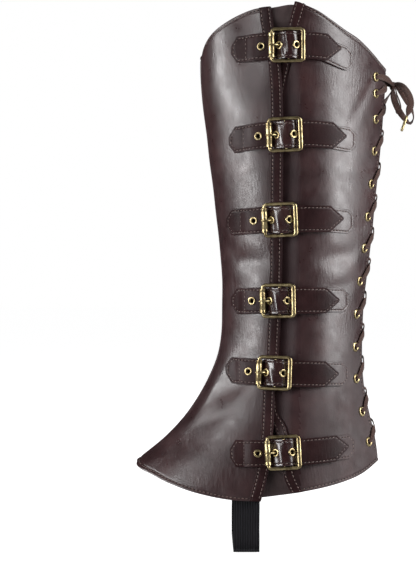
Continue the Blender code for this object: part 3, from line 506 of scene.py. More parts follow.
panelLeather = coatedLeather("coatedSplitLeather", leatherLooks["panel"])
wornLeather = coatedLeather("wornSplitLeather", leatherLooks["worn"])
shadedStrapLeather = coatedLeather("paintedShadeStrapLeather", leatherLooks["strap"])
sheenStrapLeather = coatedLeather("paintedSheenStrapLeather", leatherLooks["buckleSheen"])
hazedUnderlapLeather = coatedLeather("paintedHazeSplitLeather", leatherLooks["underlap"])
brass = antiqueBrass()
thread = bondedThread()
needleHoleShadow = newMaterial("needleHoleShadow")[0]   # the shadow where thread goes into the leather
needleHoleShadow.node_tree.nodes["Principled BSDF"].inputs["Base Color"].default_value = linear("#120B0B")
needleHoleShadow.node_tree.nodes["Principled BSDF"].inputs["Roughness"].default_value = 0.9
laceCotton = wovenAcross("braidedCottonLace", "#1C1110", "#583F38", rib=1.6, slant=0.9, roughness=0.8,
                         depth=0.4, sheen=0.25)
ribbedElastic = wovenAcross("ribbedElastic", "#0A090B", "#1F1E23", rib=1.9, slant=0.0, roughness=0.9,
                            depth=0.25, sheen=0.0)


def dress(piece, material):
    piece.data.materials.clear()
    piece.data.materials.append(material)
    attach(piece, "root")
    return piece


print("form and finishes ready")


# The panels, each a sheet worked to the leg's form

panelForm = {"cell": 1.8, "edgeCell": 0.55, "rimRound": 0.5, "eyeletHole": 2.3, "height": 385, "worn": 9.0}
panelRows = shares(panelForm["height"], panelForm["cell"], panelForm["edgeCell"], 5.0)


def makePanel(name, width, shape, node, holesSide=None):
    piece = formGrid(name, shares(width, panelForm["cell"], panelForm["edgeCell"]), panelRows, shape)
    thicken(piece, wall, edge=panelForm["rimRound"])
    if holesSide:
        frames = [surfaceFrame(backAngle(holesSide * edge("eyelets", z), z), z) for z in eyeletRows]
        cutHoles(piece, frames, panelForm["eyeletHole"], 10)
    smoothShade(piece)
    dress(piece, panelLeather)
    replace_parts(piece, node)
    return piece


frontShape = panelShape(shinAngle, lambda z: besideEdge(0, z), "hemFront", "rimFront", panelLift)
rearShape = panelShape(lambda z: behindEdge(0, z), lambda z: backAngle(-edge("laced", z), z),
                       "hemRear", "rimRear", rearLift)
innerShape = panelShape(lambda z: backAngle(edge("laced", z), z), lambda z: -shinAngle(z),
                        "hemInner", "rimInner", panelLift)
frontPanel = makePanel("frontPanel", 100, frontShape, "front_panel_outer")
rearPanel = makePanel("rearPanel", 85, rearShape, "rear_panel_outer", holesSide=-1)
# the rear panel's faces near its front edge take the darker copy: painted shade beside the front edge
rearPanel.data.materials.append(wornLeather)
for face in rearPanel.data.polygons:
    if face.center.x / mm < panelForm["worn"]:
        face.material_index = 1
innerPanel = makePanel("innerPanel", 205, innerShape, "inner_panel", holesSide=1)


underlapForm = {"reach": 13, "width": 40, "cell": 2.2, "rise": 2.4, "round": 0.3}


def makeUnderlap():
    form = underlapForm

    def left(z):
        return angleAt(edge("front", z) - form["reach"], z)

    def right(z):
        return angleAt(max(edge("front", z), edge("rear", z)) + form["reach"], z)

    shape = panelShape(left, right, "hemUnderlap", "rimUnderlap", underlapLift)
    piece = formGrid("underlapTongue", shares(form["width"], form["cell"]),
                     shares(panelForm["height"], form["rise"]), shape)
    thicken(piece, trim, edge=form["round"])
    smoothShade(piece)
    dress(piece, hazedUnderlapLeather)
    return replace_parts(piece, "underlap")


underlap = makeUnderlap()

stripForm = {"width": 9.0, "shortBy": 0.3, "stitchIn": 1.5, "round": 0.35}


def domed(distance, stitchIn=1.5, rise=0.22):
    # how a stitched strip swells between its edges and sinks along its thread
    return rise * (1 - exp(-distance / 1.1)) - 0.26 * exp(-((distance - stitchIn) / 0.5) ** 2)


def makeStrip(name, borders, hem, rim, lift, node):
    width = stripForm["width"] - stripForm["shortBy"]

    def shape(q, v):
        angle, z, inFromEdge = panelSpot(borders[0], borders[1], hem, rim, q, v)
        swell = domed(min(q, 1 - q) * width, stripForm["stitchIn"])
        return place(angle, z, lift(angle, z) + gap + trim + swell + turnedEdge(inFromEdge) / 2)

    piece = formGrid(name, shares(width, 0.45), shares(panelForm["height"], 2.0, 0.6, 4.0), shape)
    thicken(piece, trim, edge=stripForm["round"])
    smoothShade(piece)
    dress(piece, shadedStrapLeather)
    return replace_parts(piece, node)


frontStrip = makeStrip("frontEdgeStrip", (lambda z: besideEdge(stripForm["width"], z),
                                          lambda z: besideEdge(stripForm["shortBy"], z)),
                       "hemFront", "rimFront", panelLift, "front_edge_strip")
rearStrip = makeStrip("rearEdgeStrip", (lambda z: behindEdge(stripForm["shortBy"], z),
                                        lambda z: behindEdge(stripForm["width"], z)),
                      "hemRear", "rimRear", rearLift, "rear_edge_strip")
print("panels, underlap and edge strips made")


# Straps, and the tabs that carry the buckles

strapPlaces = {   # for each strap, from the top: its sewn end, buckle, tip and tab, with their heights
    "left": (-43, -44.5, -46.3, -42.3, -46.7, -44.6),
    "leftHeight": (41, -28, -91, -152.6, -206.7, -270.3),
    "x": (-0.8, -2.5, -5.5, -6.6, -9.6, -3.7),
    "height": (42.3, -25, -89.7, -152, -208, -269.1),
    "tip": (39.1, 43.5, 41.6, 38.8, 38.1, 46.2),
    "tipHeight": (41.4, -25, -88.3, -151.7, -209.2, -265.6),
    "tab": (49.7, 52.6, 51.4, 48, 47.8, 52.5),
    "tabHeight": (34, -27.4, -90.5, -151.8, -209.8, -265.9),
}
strapForm = {
    "half": 10.2, "bevel": 4.5, "flat": 3.0, "point": 10.5, "tipHalf": 0.8, "stitchIn": 1.8,
    "crossStitch": 11, "holes": (-19.2, -5.8, 6.3), "holeRadius": 1.8, "round": 0.3,
    "straight": 16, "buckleSheen": (-10.5, 12),
    "rise": ((-30, -24, -9.5, -5.8, -2, 0.8, 4, 6.6, 9, 12.5, 17),
             (0.4, 2, 2, 3.9, 6.5, 7.1, 6.4, 5, 3, 2.75, 2.1)),
}
tabForm = {
    "half": 9.3, "bevel": 5.0, "flat": 4.5, "stitchIn": 1.6, "start": 1.4, "round": 0.25, "swell": 0.8,
    "rise": ((1.4, 6, 12, 17, 35.5), (2.7, 2.35, 1.7, 1, 1)),
    "return": ((6.2, 3.9), (4, 5), (1.4, 5.85)), "loopRadius": 1.6, "slot": (7.4, 2.8, 9),
}
buckleForm = {
    "halfX": 11.9, "halfZ": 12.1, "lift": 5.8, "corner": 2.3, "rail": 1.25, "keeper": 1.85, "thick": 1.3,
    "roller": 2.4, "rollerLength": 18.8, "rollerGroove": 0.14, "barX": 0.8, "barLift": 4.3,
    "barRadius": 0.8, "prong": 0.78, "prongHook": 1.7,
}
straps = [dict(zip(strapPlaces, values)) for values in zip(*strapPlaces.values())]


def strapHeight(strap, x, end):
    # the middle of a strap, in line with its buckle and drifting to its end's height
    slope = (strap["tipHeight"] - strap["leftHeight"]) / (strap["tip"] - strap["left"])
    drift = strap[end + "Height"] - strap["height"] - slope * (strap[end] - strap["x"])
    straight = strapForm["straight"]
    away = (abs(x - strap["x"]) - straight) / (abs(strap[end] - strap["x"]) - straight)
    return strap["height"] + slope * (x - strap["x"]) + drift * blend(away)


def strapSpot(strap, x, t):
    # a place on a strap's outer face: t goes from -1 at its lower edge to 1 at its upper edge
    fromLeft, fromTip = x - strap["left"], strap["tip"] - x
    half = min(strapForm["half"],
               between(strapForm["flat"], strapForm["half"], min(1, fromLeft / strapForm["bevel"])),
               between(strapForm["tipHalf"], strapForm["half"], min(1, fromTip / strapForm["point"])))
    z = strapHeight(strap, x, "left" if x < strap["x"] else "tip") + t * half
    inFromEdge = min((1 - abs(t)) * half, fromLeft, fromTip * 1.2)
    along = x - strap["x"]
    # the leather crumples a little as it climbs over the buckle's bar
    crumple = 0.22 * sin(along * 1.05 + z * 0.31) * exp(-((along + 1) / 8) ** 2)
    crumple -= 0.2 * exp(-((fromLeft - strapForm["crossStitch"]) / 0.5) ** 2)
    lift = curveValue(*strapForm["rise"], along) + trim + domed(inFromEdge, strapForm["stitchIn"]) + crumple
    return place(angleAt(x, z), z, lift)


def strapRoll(strap):
    return degrees(atan2(strap["tipHeight"] - strap["leftHeight"], strap["tip"] - strap["left"]))


def strapFrame(strap, along):
    # axes on a strap's outer face, tilted where the strap climbs
    below = surfaceFrame(angleAt(strap["x"] + along, strap["height"]), strap["height"], strapRoll(strap))

    def point(at):
        x = strap["x"] + at
        z = strapHeight(strap, x, "left" if at < 0 else "tip")
        return place(angleAt(x, z), z, curveValue(*strapForm["rise"], at) + trim)

    direction = (point(along + 0.5) - point(along - 0.5)).normalized()
    out = direction.cross(below.to_3x3() @ Vector((0, 1, 0))).normalized()
    return axesAt(point(along), direction, out)


def buckleFrame(strap):
    return surfaceFrame(angleAt(strap["x"], strap["height"]), strap["height"], strapRoll(strap))


def makeStrap(number, strap):
    length = strap["tip"] - strap["left"]
    along = [between(strap["left"], strap["tip"], q) for q in shares(length, 1.0, 0.5, 2.5)]
    across = [2 * q - 1 for q in shares(2 * strapForm["half"], 1.3, 0.45, 3.2)]
    piece = formGrid(f"strap{number}", along, across, lambda x, t: strapSpot(strap, x, t))
    thicken(piece, trim, edge=strapForm["round"])
    cutHoles(piece, [strapFrame(strap, at) for at in strapForm["holes"]], strapForm["holeRadius"], 6)
    smoothShade(piece)
    dress(piece, shadedStrapLeather)
    # faces inside the buckle take the lighter, glossier copy: painted sheen over the bar
    piece.data.materials.append(sheenStrapLeather)
    sheenFrom, sheenTo = strapForm["buckleSheen"]
    for face in piece.data.polygons:
        if sheenFrom < face.center.x / mm - strap["x"] < sheenTo:
            face.material_index = 1
    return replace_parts(piece, f"strap_{number}")


def tabSpot(strap, x, t):
    half = between(tabForm["flat"], tabForm["half"], min(1, (strap["tab"] - x) / tabForm["bevel"]))
    z = strapHeight(strap, x, "tab") + t * half
    inFromEdge = min((1 - abs(t)) * half, strap["tab"] - x)
    lift = curveValue(*tabForm["rise"], x - strap["x"])
    lift += tabForm["swell"] * domed(inFromEdge, tabForm["stitchIn"])
    return place(angleAt(x, z), z, lift)


def makeTab(number, strap):
    own = buckleFrame(strap)
    bar = Vector((buckleForm["barX"], 0, buckleForm["barLift"]))
    loop = [Vector((along, 0, lift)) for along, lift in tabForm["return"]]
    turns = [radians(a) for a in range(110, 251, 14)]
    loop += [bar + tabForm["loopRadius"] * Vector((cos(a), 0, sin(a))) for a in turns]
    start = strap["x"] + tabForm["start"]
    length = strap["tab"] - strap["x"] - tabForm["start"]
    laid = [start + q * length for q in shares(length, 1.2, 0.5, 2.5)]
    across = [2 * q - 1 for q in shares(2 * tabForm["half"], 1.3, 0.45, 3)]

    def shape(station, t):
        if isinstance(station, Vector):
            return own @ (station + Vector((0, t * tabForm["half"], 0)))
        return tabSpot(strap, station, t)

    piece = formGrid(f"buckleTab{number}", loop + laid, across, shape)
    thicken(piece, legForm["chape"], offset=0.0, edge=tabForm["round"])
    deselectAll()
    bpy.ops.mesh.primitive_cube_add(size=mm)
    slot = bpy.context.object
    slotFrame = own @ Matrix.Translation(bar + Vector((0.4, 0, 0)))
    slot.data.transform(scaled(slotFrame @ Matrix.Diagonal((*tabForm["slot"], 1))))
    cut = piece.modifiers.new("prongSlot", "BOOLEAN")
    cut.operation = "DIFFERENCE"
    cut.object = slot
    applyModifiers(piece)
    bpy.data.objects.remove(slot)
    smoothShade(piece)
    dress(piece, panelLeather)
    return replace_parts(piece, f"buckle_tab_{number}")


strapPieces = [makeStrap(number, strap) for number, strap in enumerate(straps, 1)]
tabPieces = [makeTab(number, strap) for number, strap in enumerate(straps, 1)]
print("straps and buckle tabs made")


# Brass: turned rings, and buckles modelled once and copied to each strap

def turnedPiece(name, profile, steps=24):
    # a closed profile of radius and height, spun round Z
    deselectAll()
    bpy.ops.mesh.primitive_circle_add(vertices=len(profile), radius=mm)
    piece = bpy.context.object
    piece.name = piece.data.name = name
    for vertex, (radius, height) in zip(piece.data.vertices, profile):
        vertex.co = Vector((radius, 0, height)) * mm
    bpy.ops.object.mode_set(mode="EDIT")
    bpy.ops.mesh.select_all(action="SELECT")
    bpy.ops.mesh.spin(steps=steps, angle=2 * pi, center=(0, 0, 0), axis=(0, 0, 1))
    bpy.ops.mesh.select_all(action="SELECT")
    bpy.ops.mesh.remove_doubles(threshold=0.01 * mm)
    bpy.ops.mesh.normals_make_consistent(inside=False)
    bpy.ops.object.mode_set(mode="OBJECT")
    smoothShade(piece, 40)
    return piece


def copyTo(original, name, where):
    copy = original.copy()
    copy.data = original.data.copy()
    copy.name = copy.data.name = name
    copy.data.transform(scaled(where))
    bpy.context.scene.collection.objects.link(copy)
    return copy


def joinAs(name, parts):
    selectOnly(parts[0])
    for part in parts:
        part.select_set(True)
    bpy.ops.object.join()
    joined = bpy.context.object
    joined.name = joined.data.name = name
    return joined


def crosswise(x, lift):
    # lays what was made upright along the buckle's bars
    return Matrix.Translation((x * mm, 0, lift * mm)) @ Matrix.Rotation(pi / 2, 4, "X")


def makeBuckleRing():
    # a plane with rounded corners, inset, its middle taken out, given a wall and rounded all over
    form = buckleForm
    outX, outZ = form["halfX"] + form["rail"], form["halfZ"] + form["rail"]
    deselectAll()
    bpy.ops.mesh.primitive_plane_add(size=2)
    ring = bpy.context.object
    ring.data.transform(Matrix.Diagonal((outX * mm, outZ * mm, 1, 1)))
    bpy.ops.object.mode_set(mode="EDIT")
    bpy.ops.mesh.select_all(action="SELECT")
    bpy.ops.mesh.bevel(offset=(form["corner"] + form["rail"]) * mm, segments=7, affect="VERTICES")
    bpy.ops.mesh.select_all(action="SELECT")
    bpy.ops.mesh.inset(thickness=2 * form["rail"] * mm)
    bpy.ops.mesh.delete(type="FACE")
    bpy.ops.object.mode_set(mode="OBJECT")
    inside = form["halfX"] - form["rail"]
    for vertex in ring.data.vertices:
        x, z = vertex.co.x / mm, vertex.co.y / mm
        if x > inside - 1.5 and abs(z) < form["halfZ"] - form["rail"] + 0.1 and x < inside + 0.2:
            vertex.co.x -= (form["keeper"] - form["rail"]) * mm * (1 - blend((abs(z) - 7) / 5))
        if x > form["halfX"]:
            vertex.co.x += (form["keeper"] - form["rail"]) * mm
    shell = ring.modifiers.new("wall", "SOLIDIFY")
    shell.thickness = 2 * form["thick"] * mm
    shell.offset = 0.0
    rounded = ring.modifiers.new("round", "BEVEL")
    rounded.width = 0.95 * form["rail"] * mm
    rounded.segments = 4
    rounded.limit_method = "ANGLE"
    rounded.angle_limit = radians(60)
    applyModifiers(ring)
    ring.data.transform(Matrix.Translation((0, 0, form["lift"] * mm)))
    bpy.ops.mesh.primitive_cylinder_add(vertices=14, radius=form["barRadius"] * mm,
                                        depth=2 * form["halfZ"] * mm)
    bar = bpy.context.object
    bar.data.transform(crosswise(form["barX"], form["barLift"]))
    return joinAs("buckleRing", [ring, bar])


def makeRoller():
    # sheet brass rolled round the axle: its butt joint faces in, and its ends are eased
    form = buckleForm
    half, full = form["rollerLength"] / 2, form["roller"]
    groove = full - form["rollerGroove"]
    end = [(1.4, 0.2), (2.1, 0.0), (full, 0.35), (full, 2.2), (groove, 2.45), (groove, 2.8), (full, 3.05)]
    profile = [(radius, -half + inside) for radius, inside in end]
    profile += [(radius, half - inside) for radius, inside in reversed(end)]
    roller = turnedPiece("roller", profile, 28)
    roller.data.transform(crosswise(-form["halfX"], form["lift"]))
    return roller


def makeProng():
    # a pin bent round the centre bar, out through the strap's hole and down on the roller
    form = buckleForm
    bend = form["prongHook"]
    turns = [radians(a) for a in range(165, -85, -20)]
    hook = [(form["barX"] + bend * cos(a), form["barLift"] + bend * sin(a)) for a in turns]
    top = form["lift"] + form["roller"] + 0.3 + form["prong"]
    reach = [(-2.8, 2.75), (-4.8, 3.2), (-6.2, 5.8), (-8.6, top - 0.5), (-11.6, top + 0.15),
             (-14.2, top - 0.5)]
    line = [Vector((x, 0, z)) for x, z in hook + reach]
    deselectAll()
    bpy.ops.curve.primitive_nurbs_path_add()
    prong = bpy.context.object
    curve = prong.data
    curve.splines.remove(curve.splines[0])
    spline = curve.splines.new("NURBS")
    spline.points.add(len(line) - 1)
    for i, (point, spot) in enumerate(zip(spline.points, line)):
        point.co = (*(spot * mm), 1)
        point.radius = 1.0 if i < len(line) - 2 else (1.05, 0.75)[i - len(line) + 2]
    spline.use_endpoint_u = True
    spline.order_u = 3
    curve.resolution_u = 3
    curve.bevel_depth = form["prong"] * mm
    curve.bevel_resolution = 3
    curve.use_fill_caps = True
    selectOnly(prong)
    bpy.ops.object.convert(target="MESH")
    prong = bpy.context.object
    smoothShade(prong, 45)
    return prong


def makeBuckles():
    ring, roller, prong = makeBuckleRing(), makeRoller(), makeProng()
    smoothShade(ring, 60)
    parts = ((ring, "buckleFrame", "buckle_frame"), (roller, "buckleRoller", "buckle_roller"),
             (prong, "buckleProng", "buckle_prong"))
    for number, strap in enumerate(straps, 1):
        own = buckleFrame(strap)
        for original, name, node in parts:
            piece = copyTo(original, f"{name}{number}", own)
            dress(piece, brass)
            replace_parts(piece, f"{node}_{number}")
    for original in (ring, roller, prong):
        bpy.data.objects.remove(original)


eyeletForm = {   # radius and height over the leather, for the rings in the straps and in the laced edges
    "strap": [(1.75, -1.5), (1.55, -1.5), (1.55, 0.55), (1.95, 0.98), (2.5, 1.12), (3.0, 0.92), (3.2, 0.5),
              (3.1, 0.34), (1.8, 0.34)],
    "lace": [(2.25, -2.6), (2.0, -2.6), (2.0, 0.35), (2.35, 0.8), (2.95, 0.98), (3.6, 0.75), (3.95, 0.3),
             (3.85, 0.12), (2.3, 0.12)],
    "washer": [(2.3, -1.75), (3.7, -1.75), (3.9, -1.95), (3.5, -2.35), (2.6, -2.5), (2.1, -2.3)],
}


def makeStrapEyelets():
    original = turnedPiece("strapEyelet", eyeletForm["strap"])
    for number, strap in enumerate(straps, 1):
        for letter, at in zip("abc", strapForm["holes"]):
            piece = copyTo(original, f"strapEyelet{number}{letter}", strapFrame(strap, at))
            dress(piece, brass)
            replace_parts(piece, f"strap_eyelet_{number}{letter}")
    bpy.data.objects.remove(original)


def makeLaceEyelets():
    # these rings are not among the CAD's nodes, so each side's rings are one joined piece of the scene's own
    ring = turnedPiece("laceEyelet", eyeletForm["lace"])
    washer = turnedPiece("laceWasher", eyeletForm["washer"])
    made = []
    for side, name in ((-1, "laceEyeletsOuter"), (1, "laceEyeletsInner")):
        copies = []
        for z in eyeletRows:
            own = surfaceFrame(backAngle(side * edge("eyelets", z), z), z)
            copies += [copyTo(ring, "ring", own), copyTo(washer, "washer", own)]
        made.append(dress(joinAs(name, copies), brass))
    bpy.data.objects.remove(ring)
    bpy.data.objects.remove(washer)
    return made


makeBuckles()
makeStrapEyelets()
laceEyelets = makeLaceEyelets()
print("buckles and eyelets made")


# The lace: two halves, each from the bottom bar up to the knot, round its loop and to its free end

laceForm = {
    "half": 2.7, "bunched": 1.45, "thick": 0.5, "arch": 0.35, "knot": (86.2, 0.0, 19.2),
    "outer": gap + 0.5 + 0.1, "inner": -wall - gap - 0.5 - 0.3, "knotHalf": 1.2, "tagHalf": 0.9,
}
laceOut, laceIn = laceForm["outer"], laceForm["inner"]
crossing = {   # from one eyelet to the next on the other side, as in the CAD: shares of the gap and of the
    # leather, the share of the way up, the height over the leather on top and beneath, and half the width
    "gap": (-1, -1, -1, -1, -0.8, -0.5, -0.2, 0.2, 0.55, 1, 1),
    "leather": (-1, -0.97, -0.6, -0.05, 0, 0, 0, 0, 0, 0.08, 0.92),
    "up": (0, 0.015, 0.12, 0.38, 0.43, 0.5, 0.55, 0.65, 0.72, 0.8, 0.98),
    "over": (-0.9, 0.8, laceOut + 0.15, laceOut, laceOut, 0.95, 0.85, 0.65, -1.3, laceIn, laceIn),
    "under": (-0.9, 0.8, laceOut + 0.15, laceOut, laceOut - 0.05, -0.3, -0.85, -0.95, -1.8, laceIn, laceIn),
    "half": (1.45, 1.45, 2.3, 2.7, 2.3, 1.5, 1.3, 1.3, 1.4, 2.2, 1.4),
}
bow = {   # places along each arm of the bow, then the way that the lace's width points there
    "outerLoop": (((88, -2.5, 20.2), (92.2, -6, 14.5), (96.8, -7, 6.5), (100.5, -7.5, -1), (101.6, -9, -7.5),
                   (98.2, -11.5, -11.5), (93.2, -12.5, -7), (88.5, -12, 0.5), (86, -9, 9),
                   (86.2, -2.6, 16.6)),
                  ((0.6, 0.1, 0.8), (0.8, 0.2, 0.5), (0.8, 0.3, 0.4), (0.5, 0.8, 0.2), (0.1, 1, 0),
                   (0.3, 0.9, 0.5), (0.7, 0.4, 0.6), (0.8, 0.2, 0.5), (0.9, 0.3, 0.3), (0.9, 0.2, 0.2))),
    "outerEnd": (((88.2, -1.4, 21), (92.5, -9, 17.8), (97, -14, 11.5), (98.6, -16.5, 4), (97, -17.5, -2),
                  (95.4, -17.8, -6.4)),
                 ((0.4, 0.2, 0.9), (0.4, 0.3, 0.8), (0.9, 0.3, 0.3), (1, 0.2, 0), (1, 0.2, 0), (1, 0.2, 0))),
    "innerLoop": (((88, 0.6, 19.6), (90, 5, 13.5), (93.2, 10, 7), (94.2, 12.5, 1), (91.4, 11.5, -1),
                   (88.4, 8, 4.5), (86, 5, 11), (85.6, 0.8, 17.4)),
                  ((0.3, 1, 0), (0.1, 1, 0), (0.1, 1, 0), (0.1, 1, 0), (0.1, 1, 0), (0.1, 1, 0), (0.1, 1, 0),
                   (0, 1, 0.1))),
    "innerEnd": (((86.8, 1, 20.8), (87.4, 9, 17.4), (82.5, 18, 10), (77.5, 25.5, 0), (75.5, 28.5, -6)),
                 ((0, 0.2, 1), (0.3, 0.3, 0.9), (0.7, 0.3, 0.4), (0.9, 0.4, 0), (0.9, 0.4, 0))),
}


def backPoint(across, z, lift):
    # a point over the laced back, bridging the gap between the edges on a flat arch
    half = edge("laced", z)
    if abs(across) >= half:
        return place(backAngle(across, z), z, lift)
    here, inside = skin(backAngle(-half, z), z), skin(backAngle(-half - 0.5, z), z)
    slope = laceForm["arch"] * (here.x - inside.x) / 0.5
    arch = slope * half / 2 * (1 - (across / half) ** 2)
    return Vector((here.x + arch, across, z)) + Vector((1, slope * across / half, 0)).normalized() * lift


def laceSpots(side, onTop):
    # across, height, lift, half width and lean, from the middle of the bottom bar up to the knot
    rows = list(reversed(eyeletRows))
    bottom = rows[0]
    found = [(side * 0.6, bottom, laceIn, 2.2, 0), (side * 5.5, bottom, laceIn - 0.4, 2.2, 0),
             (side * 13.4, bottom, laceIn, 1.5, 0)]
    for z, above in zip(rows, rows[1:]):
        for gapShare, leather, up, over, under, half in zip(*crossing.values()):
            here = between(z, above, up)
            border, eyelet = edge("laced", here), edge("eyelets", here)
            across = -side * (gapShare * border + leather * (eyelet - border))
            lean = 0 if half == laceForm["bunched"] else (-36 if side > 0 else 36)
            narrow = 1 if abs(gapShare) == 1 else min(1, (above - z) / 24)
            found.append((across, here, over if onTop else under, half * narrow, lean))
        side = -side
    top = rows[-1]
    eyelet = edge("eyelets", top)
    return found + [(side * eyelet, top, -0.9, 1.45, 0), (side * (eyelet - 0.3), top, 0.7, 1.45, 0),
                    (side * (eyelet - 4.5), top + 0.4, laceOut + 0.1, 2.4, 0),
                    (side * 8.2, top - 0.6, laceOut + 1.0, 2.5, 0),
                    (side * 3.9, top - 4.2, laceOut + 4.6, 1.4, 0)]


def roundedLine(points, steps):
    # a curve through all of the points, so that no corner of the route shows
    found = []
    last = len(points) - 1
    for i in range(last):
        p0, p1, p2, p3 = (points[max(0, min(last, k))] for k in (i - 1, i, i + 1, i + 2))
        for step in range(steps):
            u = step / steps
            found.append(0.5 * ((2 * p1) + (p2 - p0) * u + (2 * p0 - 5 * p1 + 4 * p2 - p3) * u ** 2
                                + (3 * p1 - p0 - 3 * p2 + p3) * u ** 3))
    found.append(points[-1])
    return found


def laceTube(name, centres, widths, halves):
    # a flat lace with a rounded section, whose UV runs in centimetres across and along it
    sides = 12
    points, faces, along = [], [], [0.0]
    for i, centre in enumerate(centres):
        ahead = (centres[min(i + 1, len(centres) - 1)] - centres[max(i - 1, 0)]).normalized()
        wide = (widths[i] - ahead * widths[i].dot(ahead)).normalized()
        thin = ahead.cross(wide)
        for k in range(sides):
            a = 2 * pi * k / sides
            across, off = cos(a), sin(a)
            off = laceForm["thick"] * (1 if off > 0 else -1) * abs(off) ** 0.7
            points.append((centre + wide * halves[i] * across + thin * off) * mm)
        if i:
            along.append(along[-1] + (centre - centres[i - 1]).length / 10)
    for i in range(len(centres) - 1):
        for k in range(sides):
            n = (k + 1) % sides
            faces.append((i * sides + k, i * sides + n, (i + 1) * sides + n, (i + 1) * sides + k))
    faces.append(tuple(range(sides - 1, -1, -1)))
    faces.append(tuple(range((len(centres) - 1) * sides, len(centres) * sides)))
    mesh = bpy.data.meshes.new(name)
    mesh.from_pydata(points, [], faces)
    uv = mesh.uv_layers.new(name="UVMap")
    for loop in mesh.loops:
        i, k = divmod(loop.vertex_index, sides)
        uv.data[loop.index].uv = (halves[i] / 10 * cos(2 * pi * k / sides), along[i])
    mesh.shade_smooth()
    piece = bpy.data.objects.new(name, mesh)
    bpy.context.scene.collection.objects.link(piece)
    selectOnly(piece)
    bpy.ops.object.mode_set(mode="EDIT")
    bpy.ops.mesh.select_all(action="SELECT")
    bpy.ops.mesh.normals_make_consistent(inside=False)
    bpy.ops.object.mode_set(mode="OBJECT")
    return piece


def makeLaceHalf(name, side, onTop, arms, node):
    centres, widths, halves = [], [], []
    for across, z, lift, half, lean in laceSpots(side, onTop):
        sideways = (backPoint(across + 0.5, z, lift) - backPoint(across - 0.5, z, lift)).normalized()
        up = (backPoint(across, z + 0.5, lift) - backPoint(across, z - 0.5, lift)).normalized()
        centres.append(backPoint(across, z, lift))
        widths.append(up * cos(radians(lean)) - sideways * sin(radians(lean)))
        halves.append(half)
    for arm in arms:
        places, directions = bow[arm]
        last = len(places) - 1
        for i, (spot, wide) in enumerate(zip(places, directions)):
            centres.append(Vector(spot))
            widths.append(Vector(wide))
            nearEnd = laceForm["knotHalf"] if i in (0, last) else laceForm["half"]
            halves.append(laceForm["tagHalf"] if i == last and arm.endswith("End") else nearEnd)
    for i in range(1, len(widths)):
        if widths[i].dot(widths[i - 1]) < 0:
            widths[i] = -widths[i]
    steps = 4
    line = roundedLine(centres, steps)
    turned = roundedLine(widths, steps)
    wide = [max(0.6, v.x) for v in roundedLine([Vector((h, 0, 0)) for h in halves], steps)]
    piece = laceTube(name, line, turned, wide)
    dress(piece, laceCotton)
    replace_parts(piece, node)
    return piece, line


def makeKnot():
    # two turns of lace drawn tight over the crossing
    middle = Vector(laceForm["knot"])
    turns = []
    for tilt, size in ((0.5, 1.0), (-0.55, 0.92)):
        deselectAll()
        bpy.ops.mesh.primitive_torus_add(major_segments=28, minor_segments=12, major_radius=2.2 * mm,
                                         minor_radius=1.25 * mm)
        turn = bpy.context.object
        turn.data.transform(Matrix.Diagonal((1.0, 0.85, 1.75, 1)))
        turn.data.transform(scaled(Matrix.Translation(middle) @ Matrix.Rotation(tilt, 4, "X")
                                   @ Matrix.Rotation(pi / 2, 4, "Y") @ Matrix.Scale(size, 4)))
        turns.append(turn)
    bpy.ops.mesh.primitive_uv_sphere_add(segments=20, ring_count=12, radius=2.4 * mm)
    core = bpy.context.object
    core.data.transform(Matrix.Translation(middle * mm))
    knot = joinAs("laceKnot", [*turns, core])
    knot.location = (0, 0, 0)
    smoothShade(knot, 60)
    dress(knot, laceCotton)
    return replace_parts(knot, "lace_bow")


def makeAglet(name, arm, node):
    # a brass tip crimped round the lace's end
    places = bow[arm][0]
    end, before = Vector(places[-1]), Vector(places[-2])
    down = (end - before).normalized()
    profile = [(0.0, 13.3), (0.75, 13.2), (1.05, 12.7), (1.15, 9.0), (0.98, 8.4), (1.15, 7.8), (1.2, 1.4),
               (1.0, 1.0), (1.2, 0.6), (1.15, 0.3), (0.0, 0.3)]
    piece = turnedPiece(name, profile, 16)
    turn = Vector((0, 0, 1)).rotation_difference(down).to_matrix().to_4x4()
    piece.data.transform(scaled(Matrix.Translation(end) @ turn))
    dress(piece, brass)
    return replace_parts(piece, node)


laceFirst, firstLine = makeLaceHalf("laceFirstHalf", -1, True, ("outerLoop", "outerEnd"), "lace_first_half")
laceSecond, secondLine = makeLaceHalf("laceSecondHalf", 1, False, ("innerLoop", "innerEnd"),
                                      "lace_second_half")
knot = makeKnot()
agletOuter = makeAglet("agletOuter", "outerEnd", "aglet_outer")
agletInner = makeAglet("agletInner", "innerEnd", "aglet_inner")


def lengthOf(line):
    return sum((b - a).length for a, b in zip(line, line[1:])) * mm


print("lace made:", round(lengthOf(firstLine), 3), "and", round(lengthOf(secondLine), 3), "metres")


# The elastic under the shoe

stirrupForm = {
    "x": -32.0, "half": 10.0, "thick": 1.5, "round": 0.4, "sewn": (-284, -298, -311),
    "path": ((49.2, -326), (49.8, -336), (48.2, -342.5), (44, -345.3), (0, -345.6)),
}


def makeStirrup():
    form = stirrupForm

    def lineAt(offset):
        x = form["x"] + offset
        side = [place(angleAt(x, z), z, -wall - form["thick"]) for z in form["sewn"]]
        side += [Vector((x, -across, z)) for across, z in form["path"]]
        return roundedLine(side + [Vector((p.x, -p.y, p.z)) for p in reversed(side[:-1])], 8)

    across = [2 * q - 1 for q in shares(2 * form["half"], 1.0)]
    lines = [lineAt(-t * form["half"]) for t in across]
    piece = formGrid("soleElastic", range(len(across)), range(len(lines[0])), lambda i, j: lines[i][j])
    length = lengthOf(lines[0]) * 100
    uv = piece.data.uv_layers.active.data
    for spot in uv:
        spot.uv = (spot.uv.y * length, spot.uv.x * 2)
    piece.data.uv_layers.active.name = "UVMap"
    thicken(piece, form["thick"], offset=0.0, edge=form["round"])
    smoothShade(piece)
    dress(piece, ribbedElastic)
    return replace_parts(piece, "stirrup"), length / 100


stirrup, stirrupLength = makeStirrup()
print("elastic made:", round(stirrupLength, 3), "metres")


# Stitches: one modelled once, copied along each seam, and joined seam by seam

